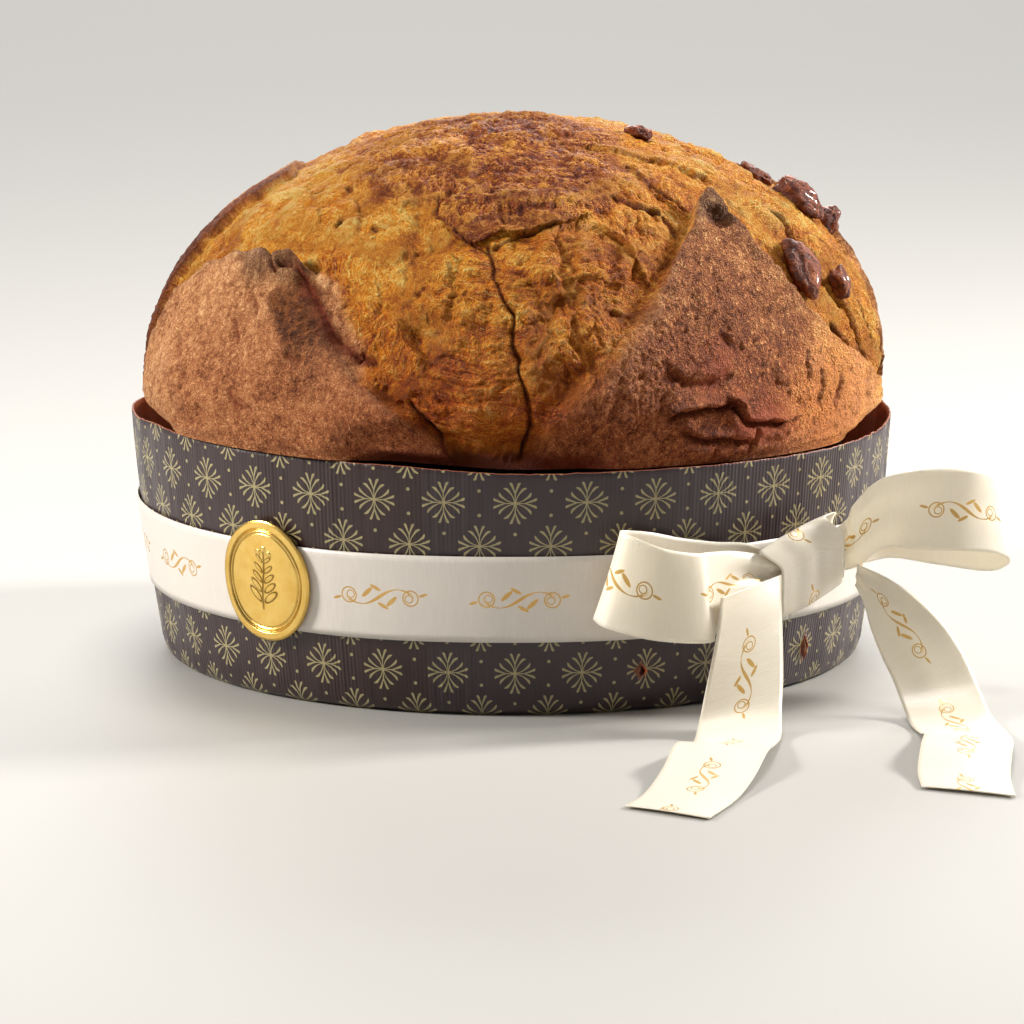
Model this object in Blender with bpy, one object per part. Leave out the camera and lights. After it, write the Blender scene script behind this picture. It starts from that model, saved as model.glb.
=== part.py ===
# Panettone in its paper baking case, tied with a wide satin ribbon and closed with a gold seal.
# Metres; +Z up; the case stands on z = 0; -Y is the front; azimuths turn from the front towards +X.
import math

import bmesh
import bpy
import numpy as np

MM = 0.001

# Loaf: a low dome whose skin was cut crosswise before baking and pulled back as four flaps.
DOME_A = 107.4
DOME_C = 72.6
DOME_Z = 85.0
DOME_END = 100.4
LOAF_CELLS = 150
LOAF_TRIANGLES = 6400
STEP_HALF = 0.9

# Paper case: outer radius at each height, wall and base 0.8 thick.
WALL = 0.8
CASE_PROFILE = ((0.0, 101.0), (1.5, 103.3), (4.5, 104.4), (21.0, 106.9), (49.0, 110.8), (71.5, 112.7))
CASE_SEGMENTS = 96
RIM_Z = 71.5
RIM_LIFT = 2.2
RIM_PEAK = 1.2
RIM_PEAK_AZ = -66.0
SKEWER_AZ = 36.4
SKEWER_HALF_GAP = 31.0
SKEWER_Z = 12.2

# Ribbon: 25 wide.
RIBBON_T = 0.4
BAND_Z = (22.0, 47.0)
BAND_SEGMENTS = 72
GAP = 0.35

# Flap edges on the dome's chart, in degrees from the top: (towards +X, towards the front).
# Each list runs along the free edge, up to the tip and down again; the rim closes it.
FLAP_FRONT_RIGHT = ((3.7, 101.5), (6.7, 93.7), (16.6, 81.9), (21.3, 72.3), (25.6, 62.2), (27.8, 52.0),
                    (29.9, 40.7), (30.6, 32.6), (31.5, 29.6), (34.1, 30.6), (38.5, 33.3), (48.6, 38.3),
                    (58.0, 41.4), (67.8, 40.0), (78.5, 33.2), (88.0, 26.0), (101.0, 18.0))
FLAP_FRONT_LEFT = ((-13.4, 101.5), (-16.3, 93.7), (-25.0, 84.4), (-31.7, 75.7), (-35.9, 66.2),
                   (-37.0, 55.0), (-36.9, 47.8), (-38.1, 42.8), (-41.9, 41.6), (-43.2, 38.1),
                   (-49.5, 31.6), (-56.6, 27.0), (-65.9, 22.9), (-78.2, 20.0), (-90.0, 22.5), (-99.0, 26.0))
FLAP_BACK_LEFT = ((-98.0, 24.5), (-88.0, 19.5), (-78.0, 17.0), (-69.0, 15.6), (-57.0, 13.5), (-44.0, 10.0),
                  (-34.0, 6.5), (-27.0, -1.0), (-26.0, -12.0), (-29.0, -30.0), (-35.0, -50.0),
                  (-40.0, -68.0), (-34.0, -84.0), (-22.0, -100.0))
FLAP_BACK_RIGHT = ((20.0, -100.5), (33.0, -86.0), (41.0, -70.0), (37.0, -52.0), (35.0, -34.0), (37.0, -18.0),
                   (48.0, -9.0), (60.0, -6.5), (75.0, -3.0), (88.0, 2.5), (101.0, 5.0))
FLAPS = (FLAP_FRONT_RIGHT, FLAP_FRONT_LEFT, FLAP_BACK_LEFT, FLAP_BACK_RIGHT)

# Top patch of darker skin, a little proud of the crumb.
TOP_PATCH = ((-26.8, 9.2), (-26.2, 23.0), (-24.6, 31.7), (-21.3, 36.4), (-15.7, 35.9), (-11.9, 36.9),
             (-11.8, 42.2), (-9.6, 48.4), (-5.8, 49.4), (-2.0, 47.1), (1.3, 47.9), (8.0, 45.6),
             (12.8, 41.6), (15.7, 32.1), (17.1, 22.7), (15.2, 6.9), (4.1, -3.2), (-14.0, -3.0))

# Fissures: (depth, half width, course on the chart).
FISSURES = (
    (5.5, 2.4, ((-3.8, 49.9), (-2.7, 57.9), (0.0, 68.1), (1.0, 79.4), (3.8, 86.0), (2.3, 99.0))),
    (3.0, 1.8, ((-22.5, 82.8), (-17.3, 91.8), (-15.8, 97.8))),
    (2.6, 1.8, ((-38.9, 42.9), (-37.2, 57.0), (-33.1, 70.0), (-28.0, 75.0))),
    (2.6, 2.0, ((12.8, 43.5), (17.0, 39.5), (21.5, 38.5), (28.5, 34.5))),
    (2.2, 1.8, ((6.3, 59.0), (11.4, 58.5), (16.0, 63.0), (18.0, 68.5))),
    (2.4, 1.8, ((39.5, 27.5), (50.3, 31.0), (60.0, 30.0))),
    (2.4, 1.8, ((43.6, 14.0), (59.6, 18.0), (73.0, 20.0), (80.0, 20.0))),
    (4.5, 2.4, ((-1.0, -40.0), (3.0, -55.0), (-2.0, -72.0), (2.0, -98.0))),
    (2.4, 1.8, ((-14.0, -60.0), (-18.0, -75.0), (-12.0, -92.0))),
)

# Glazed chestnut pieces: chart position, half sizes along the meridian, across it and outwards, turn.
CHESTNUTS = (
    (20.1, 5.2, 3.6, 2.4, 2.0, 20.0, 1),
    (41.6, -3.5, 4.8, 4.0, 2.4, -15.0, 1),
    (50.0, 4.0, 8.0, 5.6, 4.2, 10.0, 2),
    (57.2, -3.0, 3.8, 3.4, 4.0, 40.0, 1),
    (54.2, 30.9, 10.2, 5.6, 4.0, -28.0, 2),
    (63.2, 23.9, 4.4, 3.2, 2.8, -20.0, 1),
)

# Bow control points: one edge, then the other, at each station (mm).
KNOT_CENTRE = (84.6, -84.5, 40.0)
KNOT_TURN = 41.0
KNOT_HALF = (11.6, 4.6, 11.4)


def unit(v):
    v = np.asarray(v, float)
    return v / np.linalg.norm(v, axis=-1, keepdims=True)


def smooth(lo, hi, x):
    t = np.clip((np.asarray(x, float) - lo) / (hi - lo), 0.0, 1.0)
    return t * t * (3.0 - 2.0 * t)


def value_noise(p, seed):
    """Smooth noise from -1 to 1 on an integer lattice."""
    base = np.floor(p).astype(np.int64)
    f = p - base
    f = f * f * (3.0 - 2.0 * f)
    total = np.zeros(len(p))
    for dx in (0, 1):
        for dy in (0, 1):
            for dz in (0, 1):
                h = (base[:, 0] + dx) * 73856093 ^ (base[:, 1] + dy) * 19349663 ^ (base[:, 2] + dz) * 83492791
                h = (h ^ (seed * 2654435761)) & 0x7FFFFFFF
                h = (h * 1103515245 + 12345) & 0x7FFFFFFF
                h = (h ^ (h >> 13)) * 69069 & 0x7FFFFFFF
                w = (f[:, 0] if dx else 1 - f[:, 0]) * (f[:, 1] if dy else 1 - f[:, 1])
                w = w * (f[:, 2] if dz else 1 - f[:, 2])
                total += w * (h / 0x3FFFFFFF - 1.0)
    return total


def window(az, lo, hi, soft):
    return smooth(lo - soft, lo + soft, az) * (1.0 - smooth(hi - soft, hi + soft, az))


def case_radius(z):
    zs, rs = zip(*CASE_PROFILE)
    return np.interp(z, zs, rs)


def rim_height(az):
    """The paper stands higher on the left, where the loaf leans away from it."""
    az = (np.asarray(az, float) + 180.0) % 360.0 - 180.0
    peak = RIM_PEAK * np.exp(-((az - RIM_PEAK_AZ) / 8.0) ** 2)
    return RIM_Z + RIM_LIFT * window(az, -100.0, -8.0, 12.0) + peak + 0.25 * np.sin(np.radians(5 * az))


def dome(u, v):
    """Points and outward directions of the plain dome at chart places in degrees."""
    phi = np.radians(np.hypot(u, v))
    az = np.arctan2(u, v)
    deg, down = np.degrees(az), np.degrees(phi)
    # It bulges towards the front, most over the rim at the left, and tucks in above the rim elsewhere.
    low = smooth(70.0, 94.0, down)
    bulge = 3.0 * window(deg, -76.0, 76.0, 14.0) + 3.2 * window(deg, -64.0, -16.0, 8.0)
    bulge = bulge + 0.6 * window(deg, 66.0, 112.0, 12.0)
    hold = window(deg, -66.0, 66.0, 10.0)
    a = DOME_A + low * bulge - 9.0 * smooth(95.0, 102.0, down) * (1.0 - hold)
    ring = np.where(down > 90.0, np.sin(phi) + (1.0 - np.sin(phi)) * hold, np.sin(phi))
    z = DOME_Z + DOME_C * np.cos(phi)
    z = z + smooth(86.0, DOME_END, down) * hold * (rim_height(deg) + 0.8 - 71.9)
    p = np.stack([a * ring * np.sin(az), -a * ring * np.cos(az), z], -1)
    n = unit(np.stack([np.sin(phi) * np.sin(az) / DOME_A, -np.sin(phi) * np.cos(az) / DOME_A,
                       np.cos(phi) / DOME_C], -1))
    return p, n


def curve_distance(p, course):
    """Distance in mm from surface points to a course drawn on the chart."""
    course = np.array(course, float)
    q, _ = dome(course[:, 0], course[:, 1])
    best = np.full(len(p), 1e9)
    for a, b in zip(q[:-1], q[1:]):
        ab = b - a
        t = np.clip((p - a) @ ab / (ab @ ab), 0.0, 1.0)
        best = np.minimum(best, np.linalg.norm(p - a - t[:, None] * ab, axis=1))
    return best


def inside(u, v, outline):
    outline = np.array(outline, float)
    hit = np.zeros(len(u), bool)
    for (x0, y0), (x1, y1) in zip(outline, np.roll(outline, -1, 0)):
        if y0 == y1:
            continue
        cross = (y0 > v) != (y1 > v)
        hit ^= cross & (u < (x1 - x0) * (v - y0) / (y1 - y0) + x0)
    return hit


def flap_outline(edge):
    """The free edge closed far outside the rim, so that the inside test works down to it."""
    a0 = math.atan2(edge[0][0], edge[0][1])
    a1 = math.atan2(edge[-1][0], edge[-1][1])
    cx = sum(e[0] for e in edge) / len(edge)
    cy = sum(e[1] for e in edge) / len(edge)
    mid = math.atan2(cx, cy)
    turn = lambda a: (a - mid + math.pi) % (2 * math.pi) - math.pi
    a0, a1 = mid + turn(a0), mid + turn(a1)
    arc = [(150.0 * math.sin(a1 + (a0 - a1) * k / 8), 150.0 * math.cos(a1 + (a0 - a1) * k / 8)) for k in range(9)]
    return list(edge) + arc


def loaf_relief(u, v):
    """Height in mm above the plain dome."""
    p, _ = dome(u, v)
    n1 = value_noise(p / 26.0, 11)
    n2 = value_noise(p / 11.0, 12)
    # The right shoulder stands out and the left one is a little hollow.
    swell = 2.9 * np.exp(-((u - 60.0) / 22.0) ** 2 - ((v + 4.0) / 30.0) ** 2)
    swell = swell - 1.8 * np.exp(-((u + 33.0) / 9.0) ** 2 - ((v - 2.0) / 14.0) ** 2)
    crumb = swell + 1.0 * n1 + 0.8 * n2
    skin = swell + 0.4 * n1 + 0.3 * n2
    tip = np.zeros(len(u))
    for k, edge in enumerate(FLAPS):
        d = curve_distance(p, edge)
        s = np.where(inside(u, v, flap_outline(edge)), d, -d)
        on = smooth(-STEP_HALF, STEP_HALF, s)
        lift = (1.2, 1.2, 0.6, 0.8)[k] + (1.8, 1.8, 1.0, 1.2)[k] * np.exp(-np.maximum(s, 0) / 14.0)
        if k == 0:
            t, _ = dome(np.array([31.8]), np.array([30.2]))
            lift += 4.2 * np.exp(-(np.linalg.norm(p - t[0], axis=1) / 8.0) ** 1.4)
        if k == 1:
            for q in ((-39.4, 43.2), (-44.6, 39.4)):
                t, _ = dome(np.array([q[0]]), np.array([q[1]]))
                lift += 2.4 * np.exp(-(np.linalg.norm(p - t[0], axis=1) / 5.5) ** 2)
        crumb -= (2.6, 2.6, 1.0, 1.0)[k] * np.exp(-np.maximum(-s, 0) / 10.0) * (1 - on)
        tip = np.where(on > 0, tip * (1 - on) + on * (skin + lift), tip)
        crumb = crumb * (1 - on)
    h = crumb + tip
    d = curve_distance(p, TOP_PATCH + TOP_PATCH[:1])
    s = np.where(inside(u, v, TOP_PATCH), d, -d)
    h += 1.0 * smooth(-1.2, 1.2, s)
    for depth, half, course in FISSURES:
        d = curve_distance(p, course)
        h += -depth * np.exp(-(d / half) ** 2) + 0.22 * depth * np.exp(-((d - 3.2 * half) / (2.0 * half)) ** 2)
    phi = np.hypot(u, v)
    return h * (1.0 - smooth(97.0, DOME_END, phi))


def disc_grid(n, reach):
    """Square grid laid over a disc of the chart; returns chart places, quads and the rim's loop."""
    g = np.linspace(-1.0, 1.0, n + 1)
    x, y = np.meshgrid(g, g, indexing="ij")
    big = np.abs(x) > np.abs(y)
    r = np.where(big, x, y)
    safe = np.where(r == 0, 1.0, r)
    t = np.where(big, math.pi / 4 * y / safe, math.pi / 2 - math.pi / 4 * x / safe)
    u, v = (reach * r * np.cos(t)).ravel(), (reach * r * np.sin(t)).ravel()
    at = lambda i, j: i * (n + 1) + j
    quads = [(at(i, j), at(i + 1, j), at(i + 1, j + 1), at(i, j + 1)) for i in range(n) for j in range(n)]
    loop = ([at(i, 0) for i in range(n)] + [at(n, j) for j in range(n)]
            + [at(i, n) for i in range(n, 0, -1)] + [at(0, j) for j in range(n, 0, -1)])
    return u, v, quads, loop


def new_object(name, verts, faces, collection, material=None, smooth_shade=True):
    mesh = bpy.data.meshes.new(name)
    mesh.from_pydata((np.asarray(verts) * MM).tolist(), [], [tuple(int(i) for i in f) for f in faces])
    mesh.validate()
    work = bmesh.new()
    work.from_mesh(mesh)
    bmesh.ops.recalc_face_normals(work, faces=work.faces)
    work.to_mesh(mesh)
    work.free()
    if material:
        mesh.materials.append(material)
    for face in mesh.polygons:
        face.use_smooth = smooth_shade
    obj = bpy.data.objects.new(name, mesh)
    collection.objects.link(obj)
    return obj


def rings_to_solid(rings, close_start, close_end):
    """Faces between equal rings of points, with a fan to a centre point at either end if asked."""
    count = len(rings[0])
    verts = [tuple(p) for ring in rings for p in ring]
    faces = []
    for k in range(len(rings) - 1):
        for i in range(count):
            j = (i + 1) % count
            faces.append((k * count + i, k * count + j, (k + 1) * count + j, (k + 1) * count + i))
    if close_start is not None:
        verts.append(tuple(close_start))
        faces += [(len(verts) - 1, (i + 1) % count, i) for i in range(count)]
    if close_end is not None:
        verts.append(tuple(close_end))
        last = (len(rings) - 1) * count
        faces += [(len(verts) - 1, last + i, last + (i + 1) % count) for i in range(count)]
    return verts, faces


def material(name, colour, rough, metal=0.0):
    mat = bpy.data.materials.new(name)
    mat.use_nodes = True
    bsdf = mat.node_tree.nodes["Principled BSDF"]
    bsdf.inputs["Base Color"].default_value = (*colour, 1.0)
    bsdf.inputs["Roughness"].default_value = rough
    bsdf.inputs["Metallic"].default_value = metal
    return mat


def make_loaf(collection, mat):
    u, v, quads, loop = disc_grid(LOAF_CELLS, DOME_END)
    p, n = dome(u, v)
    p = p + n * loaf_relief(u, v)[:, None]
    edge = p[loop]
    az = np.degrees(np.arctan2(edge[:, 0], -edge[:, 1]))
    way = np.stack([np.sin(np.radians(az)), -np.cos(np.radians(az))], -1)
    r_edge = np.hypot(edge[:, 0], edge[:, 1])
    z_edge = edge[:, 2]
    rim = rim_height(az)
    verts = [tuple(q) for q in p]
    faces = list(quads)
    previous = list(loop)
    inner_top = case_radius(RIM_Z) - WALL - GAP - 0.3

    def add_ring(radius, z):
        start = len(verts)
        verts.extend((radius[i] * way[i, 0], radius[i] * way[i, 1], z[i]) for i in range(len(radius)))
        ring = list(range(start, start + len(radius)))
        for i in range(len(ring)):
            j = (i + 1) % len(ring)
            faces.append((previous[i], ring[i], ring[j], previous[j]))
        previous[:] = ring

    over = r_edge > inner_top
    ledge_z = np.where(over, np.minimum(rim + 0.45, z_edge - 0.3), z_edge - 0.6)
    add_ring(np.where(over, np.maximum(r_edge - 0.8, inner_top), r_edge), ledge_z)
    neck = np.minimum(r_edge, inner_top)
    add_ring(neck, ledge_z - np.where(over, 0.12, 0.5))
    low = np.where(over, neck + 0.4, neck - 1.5)
    add_ring(np.minimum(low, case_radius(64.0) - WALL - GAP - 0.2), np.full(len(neck), 64.0))
    for z in (49.0, 21.0, 5.2):
        add_ring(np.full(len(neck), case_radius(z) - WALL - GAP - 0.15), np.full(len(neck), z))
    add_ring(np.full(len(neck), 99.6), np.full(len(neck), WALL + GAP))
    verts.append((0.0, 0.0, WALL + GAP))
    faces += [(previous[i], len(verts) - 1, previous[(i + 1) % len(previous)]) for i in range(len(previous))]
    loaf = new_object("loaf", verts, faces, collection, mat)
    dec = loaf.modifiers.new("budget", "DECIMATE")
    dec.ratio = LOAF_TRIANGLES / (2.0 * len(quads) + 2.0 * 7 * len(loop) + len(loop))
    return loaf


def make_case(collection, cutters, mat):
    az = np.arange(CASE_SEGMENTS) * 360.0 / CASE_SEGMENTS
    way = np.stack([np.sin(np.radians(az)), -np.cos(np.radians(az))], -1)
    ring = lambda r, z: [(r * w[0], r * w[1], zz) for w, zz in zip(way, np.broadcast_to(z, az.shape))]
    rings = [ring(r, z) for z, r in CASE_PROFILE[:-1]]
    rings.append(ring(case_radius(RIM_Z), rim_height(az)))
    rings.append(ring(case_radius(RIM_Z) - WALL, rim_height(az)))
    for z, r in CASE_PROFILE[-2:1:-1]:
        rings.append(ring(r - WALL, z))
    rings.append(ring(CASE_PROFILE[0][1] - 0.4, WALL))
    verts, faces = rings_to_solid(rings, (0.0, 0.0, 0.0), (0.0, 0.0, WALL))
    case = new_object("paper_case", verts, faces, collection, mat)
    along = np.array([math.sin(math.radians(SKEWER_AZ)), -math.cos(math.radians(SKEWER_AZ))])
    across = np.array([-along[1], along[0]])
    for side in (-1, 1):
        for end in (-1, 1):
            reach = math.sqrt(105.4 ** 2 - SKEWER_HALF_GAP ** 2)
            c = along * end * reach + across * side * SKEWER_HALF_GAP
            bpy.ops.mesh.primitive_cylinder_add(vertices=4, radius=1.0, depth=14 * MM)
            cut = bpy.context.object
            cut.name = "skewer_cut"
            cut.location = (c[0] * MM, c[1] * MM, SKEWER_Z * MM)
            cut.rotation_euler = (math.pi / 2, 0.0, math.atan2(along[1], along[0]) + math.pi / 2)
            cut.scale = (1.5 * MM, 2.9 * MM, 1.0)
            cut.display_type = "WIRE"
            cut.hide_render = True
            for owner in list(cut.users_collection):
                owner.objects.unlink(cut)
            cutters.objects.link(cut)
            mod = case.modifiers.new("skewer", "BOOLEAN")
            mod.operation = "DIFFERENCE"
            mod.solver = "EXACT"
            mod.object = cut
    return case


def make_band(collection, mat):
    az = np.arange(BAND_SEGMENTS) * 360.0 / BAND_SEGMENTS
    stretch = 1.0 / math.cos(math.pi / CASE_SEGMENTS) + 0.0006
    way = np.stack([np.sin(np.radians(az)), -np.cos(np.radians(az))], -1)
    rings = []
    for z, out in ((BAND_Z[0], 0), (BAND_Z[1], 0), (BAND_Z[1], 1), (BAND_Z[0], 1)):
        r = (case_radius(z) + GAP) * stretch + RIBBON_T * out + 0.12
        rings.append([(r * w[0], r * w[1], z) for w in way])
    rings.append(rings[0])
    count = len(az)
    verts = [p for r in rings[:4] for p in r]
    faces = []
    for k in range(4):
        for i in range(count):
            j = (i + 1) % count
            a, b = k * count, ((k + 1) % 4) * count
            faces.append((a + i, a + j, b + j, b + i))
    return new_object("ribbon_band", verts, faces, collection, mat)


def spline(points, count):
    """Catmull-Rom curve through points, evenly divided in its parameter."""
    pts = np.array(points, float)
    ext = np.vstack([2 * pts[0] - pts[1], pts, 2 * pts[-1] - pts[-2]])
    t = np.linspace(0.0, len(pts) - 1.0, count)
    k = np.minimum(t.astype(int), len(pts) - 2)
    f = (t - k)[:, None]
    a, b, c, d = ext[k], ext[k + 1], ext[k + 2], ext[k + 3]
    return 0.5 * (2 * b + (c - a) * f + (2 * a - 5 * b + 4 * c - d) * f ** 2 + (3 * b - a - 3 * c + d) * f ** 3)


def make_strip(name, one, other, count, collection, mat):
    """Ribbon between two edge curves, given a thickness of RIBBON_T."""
    a, b = spline(one, count), spline(other, count)
    cols = np.stack([a, (a + b) / 2, b], 1)
    along = np.gradient(cols, axis=0)
    across = np.repeat((b - a)[:, None, :], 3, 1)
    n = unit(np.cross(along, across))
    top, low = cols + n * RIBBON_T / 2, cols - n * RIBBON_T / 2
    rings = [np.vstack([top[i], low[i][::-1]]) for i in range(count)]
    verts = np.vstack(rings)
    faces = []
    for i in range(count - 1):
        for k in range(6):
            j = (k + 1) % 6
            faces.append((i * 6 + k, i * 6 + j, (i + 1) * 6 + j, (i + 1) * 6 + k))
    last = (count - 1) * 6
    faces += [(0, 1, 4, 5), (1, 2, 3, 4)]
    faces += [(last, last + 5, last + 4, last + 1), (last + 1, last + 4, last + 3, last + 2)]
    return new_object(name, verts, faces, collection, mat)


def make_knot(collection, mat):
    """Ribbon wrapped round the bow's throat: a cushion with rounded top and foot and two soft folds."""
    turn = math.radians(KNOT_TURN)
    across = np.array([math.cos(turn), math.sin(turn), 0.0])
    out = np.array([math.sin(turn), -math.cos(turn), 0.0])
    up = np.array([0.0, 0.0, 1.0])
    hx, hy, hz = KNOT_HALF
    rings = []
    for s in np.linspace(-1.0, 1.0, 9):
        end = 1.0 - 0.10 * s * s
        ring = []
        for k in range(20):
            t = 2 * math.pi * k / 20
            cy, cz = math.sin(t), math.cos(t)
            y = hy * math.copysign(abs(cy) ** 0.75, cy) * end
            z = hz * math.copysign(abs(cz) ** 0.72, cz) * end
            if cy > 0:
                y += 0.5 * math.cos(3.2 * s) * cy
            ring.append(np.array(KNOT_CENTRE) + across * s * hx + out * y + up * (z + 3.4 * s))
        rings.append(ring)
    verts, faces = rings_to_solid(rings, np.mean(rings[0], 0), np.mean(rings[-1], 0))
    return new_object("bow_knot", verts, faces, collection, mat)


def make_seal(collection, mat):
    """Egg-shaped embossed seal that follows the ribbon's curve."""
    az0, z0 = -39.0, 35.8
    half_w, half_h, lean = 16.2, 18.0, math.radians(-6.0)
    rings_at = ((1.0, 0.55), (0.955, 1.35), (0.89, 1.35), (0.85, 0.8), (0.79, 1.15), (0.74, 1.15), (0.70, 0.75))
    count = 36
    out_rings, verts = [], []
    shell = lambda z: (case_radius(z) + GAP) + 0.62 + RIBBON_T + GAP

    def place(x, y, lift):
        z = z0 + y
        ang = math.radians(az0) + x / 110.0
        r = max(shell(z), shell(BAND_Z[1] - 2.0) if z > BAND_Z[1] else 0.0) + lift
        return (r * math.sin(ang), -r * math.cos(ang), z)

    def ring(scale, lift):
        pts = []
        for k in range(count):
            t = 2 * math.pi * k / count
            x, y = half_w * math.cos(t) * (1 - 0.07 * math.sin(t)), half_h * math.sin(t)
            wob = 1 + 0.014 * math.sin(3 * t + 0.6) + 0.01 * math.sin(7 * t)
            x, y = x * scale * wob, y * scale * wob
            pts.append(place(x * math.cos(lean) - y * math.sin(lean), x * math.sin(lean) + y * math.cos(lean), lift))
        return pts

    rings = [ring(0.5, 0.0), ring(1.0, 0.0)] + [ring(s, h) for s, h in rings_at]
    verts, faces = rings_to_solid(rings, place(0, 0, 0.0), place(0, 0, 0.75))
    return new_object("seal", verts, faces, collection, mat)


def chestnut_shape(index, grow):
    u, v, half_m, half_a, half_o, turn, level = CHESTNUTS[index]
    ball = bmesh.new()
    bmesh.ops.create_icosphere(ball, subdivisions=level + 1, radius=1.0)
    unit_pts = np.array([vert.co[:] for vert in ball.verts])
    faces = [[vert.index for vert in face.verts] for face in ball.faces]
    ball.free()
    lump = 1.0 + 0.16 * value_noise(unit_pts * 1.3 + 7.0 * index, 40 + index)
    local = unit_pts * lump[:, None]
    (p,), (n,) = dome(np.array([u]), np.array([v]))
    h = loaf_relief(np.array([u]), np.array([v]))[0]
    side = unit(np.cross(n, (0.0, 0.0, 1.0)))
    down = np.cross(side, n)
    c, s = math.cos(math.radians(turn)), math.sin(math.radians(turn))
    axis_m, axis_a = down * c + side * s, side * c - down * s
    centre = p + n * (h + half_o * 0.45)
    size = np.array([half_m, half_a, half_o]) + grow
    pts = centre + local[:, :1] * axis_m * size[0] + local[:, 1:2] * axis_a * size[1] + local[:, 2:] * n * size[2]
    return pts, faces


def make_chestnuts(collection, cutters, mat, loaf):
    made = []
    for k in range(len(CHESTNUTS)):
        pts, faces = chestnut_shape(k, 0.0)
        made.append(new_object("chestnut_%d" % (k + 1), pts, faces, collection, mat))
        pts, faces = chestnut_shape(k, 0.42)
        cut = new_object("socket_cut_%d" % (k + 1), pts, faces, cutters)
        cut.display_type = "WIRE"
        cut.hide_render = True
        mod = loaf.modifiers.new("socket", "BOOLEAN")
        mod.operation = "DIFFERENCE"
        mod.solver = "EXACT"
        mod.object = cut
    return made


LOOP_LEFT = (
    ((74.3, -91.2, 44.5), (65.5, -94.5, 48.0), (56.9, -99.0, 49.2), (46.9, -104.5, 51.4), (38.4, -110.0, 54.0),
     (31.0, -115.0, 55.4), (30.4, -119.0, 55.7), (33.4, -122.0, 54.9), (42.2, -122.0, 51.5),
     (51.2, -118.0, 49.5), (54.6, -113.0, 48.9), (63.2, -103.5, 47.4), (76.2, -93.6, 43.5)),
    ((74.3, -91.2, 30.0), (65.0, -95.0, 27.5), (55.5, -99.5, 26.0), (44.5, -105.5, 26.8), (33.0, -111.0, 29.0),
     (23.6, -114.5, 30.6), (23.3, -119.5, 30.4), (27.1, -124.0, 29.1), (39.8, -125.0, 26.2),
     (54.6, -121.0, 24.8), (57.2, -115.0, 26.7), (66.0, -104.0, 31.6), (76.5, -93.9, 31.5)),
)
LOOP_RIGHT = (
    ((94.4, -77.6, 51.0), (96.8, -80.0, 56.5), (104.1, -81.0, 63.7), (114.0, -81.0, 66.2), (123.4, -79.0, 66.6),
     (131.4, -76.0, 65.6), (136.9, -71.0, 63.3), (139.8, -65.0, 60.2), (138.8, -60.0, 58.8),
     (133.0, -57.0, 57.9), (121.5, -57.0, 58.5), (109.7, -62.0, 54.5), (100.0, -69.5, 51.0), (92.8, -75.0, 48.5)),
    ((94.8, -77.9, 37.0), (98.8, -79.5, 38.8), (106.1, -80.0, 43.9), (113.4, -81.0, 43.8), (121.4, -80.0, 43.1),
     (129.0, -78.0, 42.6), (136.8, -73.0, 41.2), (142.6, -66.0, 38.0), (141.6, -59.0, 34.3),
     (136.4, -56.0, 32.6), (121.9, -56.0, 34.6), (109.1, -61.0, 37.5), (100.0, -69.5, 37.6), (93.1, -74.8, 37.5)),
)
TAIL_LEFT = (
    ((58.0, -116.5, 36.7), (57.2, -119.5, 29.5), (55.8, -122.0, 22.0), (53.6, -125.0, 12.0), (51.6, -130.0, 4.2),
     (49.8, -140.0, 1.0), (47.4, -152.0, 3.2), (44.0, -167.0, 6.6), (40.0, -184.0, 3.4), (35.0, -201.0, 0.9),
     (29.5, -215.0, 0.8)),
    ((75.6, -97.2, 39.5), (75.4, -101.5, 33.0), (75.6, -105.5, 25.0), (75.6, -112.5, 14.0), (74.9, -121.0, 5.8),
     (74.2, -134.0, 1.6), (72.1, -150.0, 2.8), (68.8, -169.0, 4.8), (64.3, -189.0, 2.4), (58.8, -208.0, 0.8),
     (51.0, -229.0, 0.8)),
)
TAIL_RIGHT = (
    ((97.6, -81.6, 33.5), (99.7, -86.0, 28.6), (101.5, -90.0, 22.2), (104.1, -94.5, 15.8), (107.3, -99.5, 9.4),
     (109.6, -106.5, 3.6), (111.0, -118.0, 1.0), (112.6, -131.0, 1.6), (112.5, -147.0, 4.8),
     (110.5, -163.0, 5.4), (108.5, -179.0, 2.0), (108.5, -193.0, 0.8)),
    ((97.9, -81.0, 39.5), (105.8, -82.5, 35.9), (113.3, -85.5, 31.5), (121.0, -89.0, 24.8), (126.9, -94.5, 16.9),
     (131.0, -101.5, 8.4), (134.0, -111.5, 2.2), (137.0, -127.0, 0.9), (137.0, -146.5, 2.6),
     (135.0, -165.5, 3.4), (133.0, -184.0, 1.4), (132.5, -204.0, 0.8)),
)


def main():
    for obj in list(bpy.data.objects):
        bpy.data.objects.remove(obj)
    scene = bpy.context.scene
    parts = bpy.data.collections.new("panettone")
    cutters = bpy.data.collections.new("cutters")
    scene.collection.children.link(parts)
    scene.collection.children.link(cutters)
    crust = material("crust", (0.33, 0.15, 0.055), 0.7)
    paper = material("case_paper", (0.045, 0.026, 0.03), 0.45)
    satin = material("ribbon", (0.82, 0.76, 0.64), 0.4)
    gold = material("seal_gold", (0.83, 0.62, 0.2), 0.25, 1.0)
    glaze = material("chestnut", (0.11, 0.02, 0.01), 0.25)
    loaf = make_loaf(parts, crust)
    make_case(parts, cutters, paper)
    make_band(parts, satin)
    make_strip("bow_loop_left", *LOOP_LEFT, 26, parts, satin)
    make_strip("bow_loop_right", *LOOP_RIGHT, 26, parts, satin)
    make_knot(parts, satin)
    make_strip("ribbon_tail_left", *TAIL_LEFT, 26, parts, satin)
    make_strip("ribbon_tail_right", *TAIL_RIGHT, 26, parts, satin)
    make_seal(parts, gold)
    make_chestnuts(parts, cutters, glaze, loaf)


main()
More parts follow.
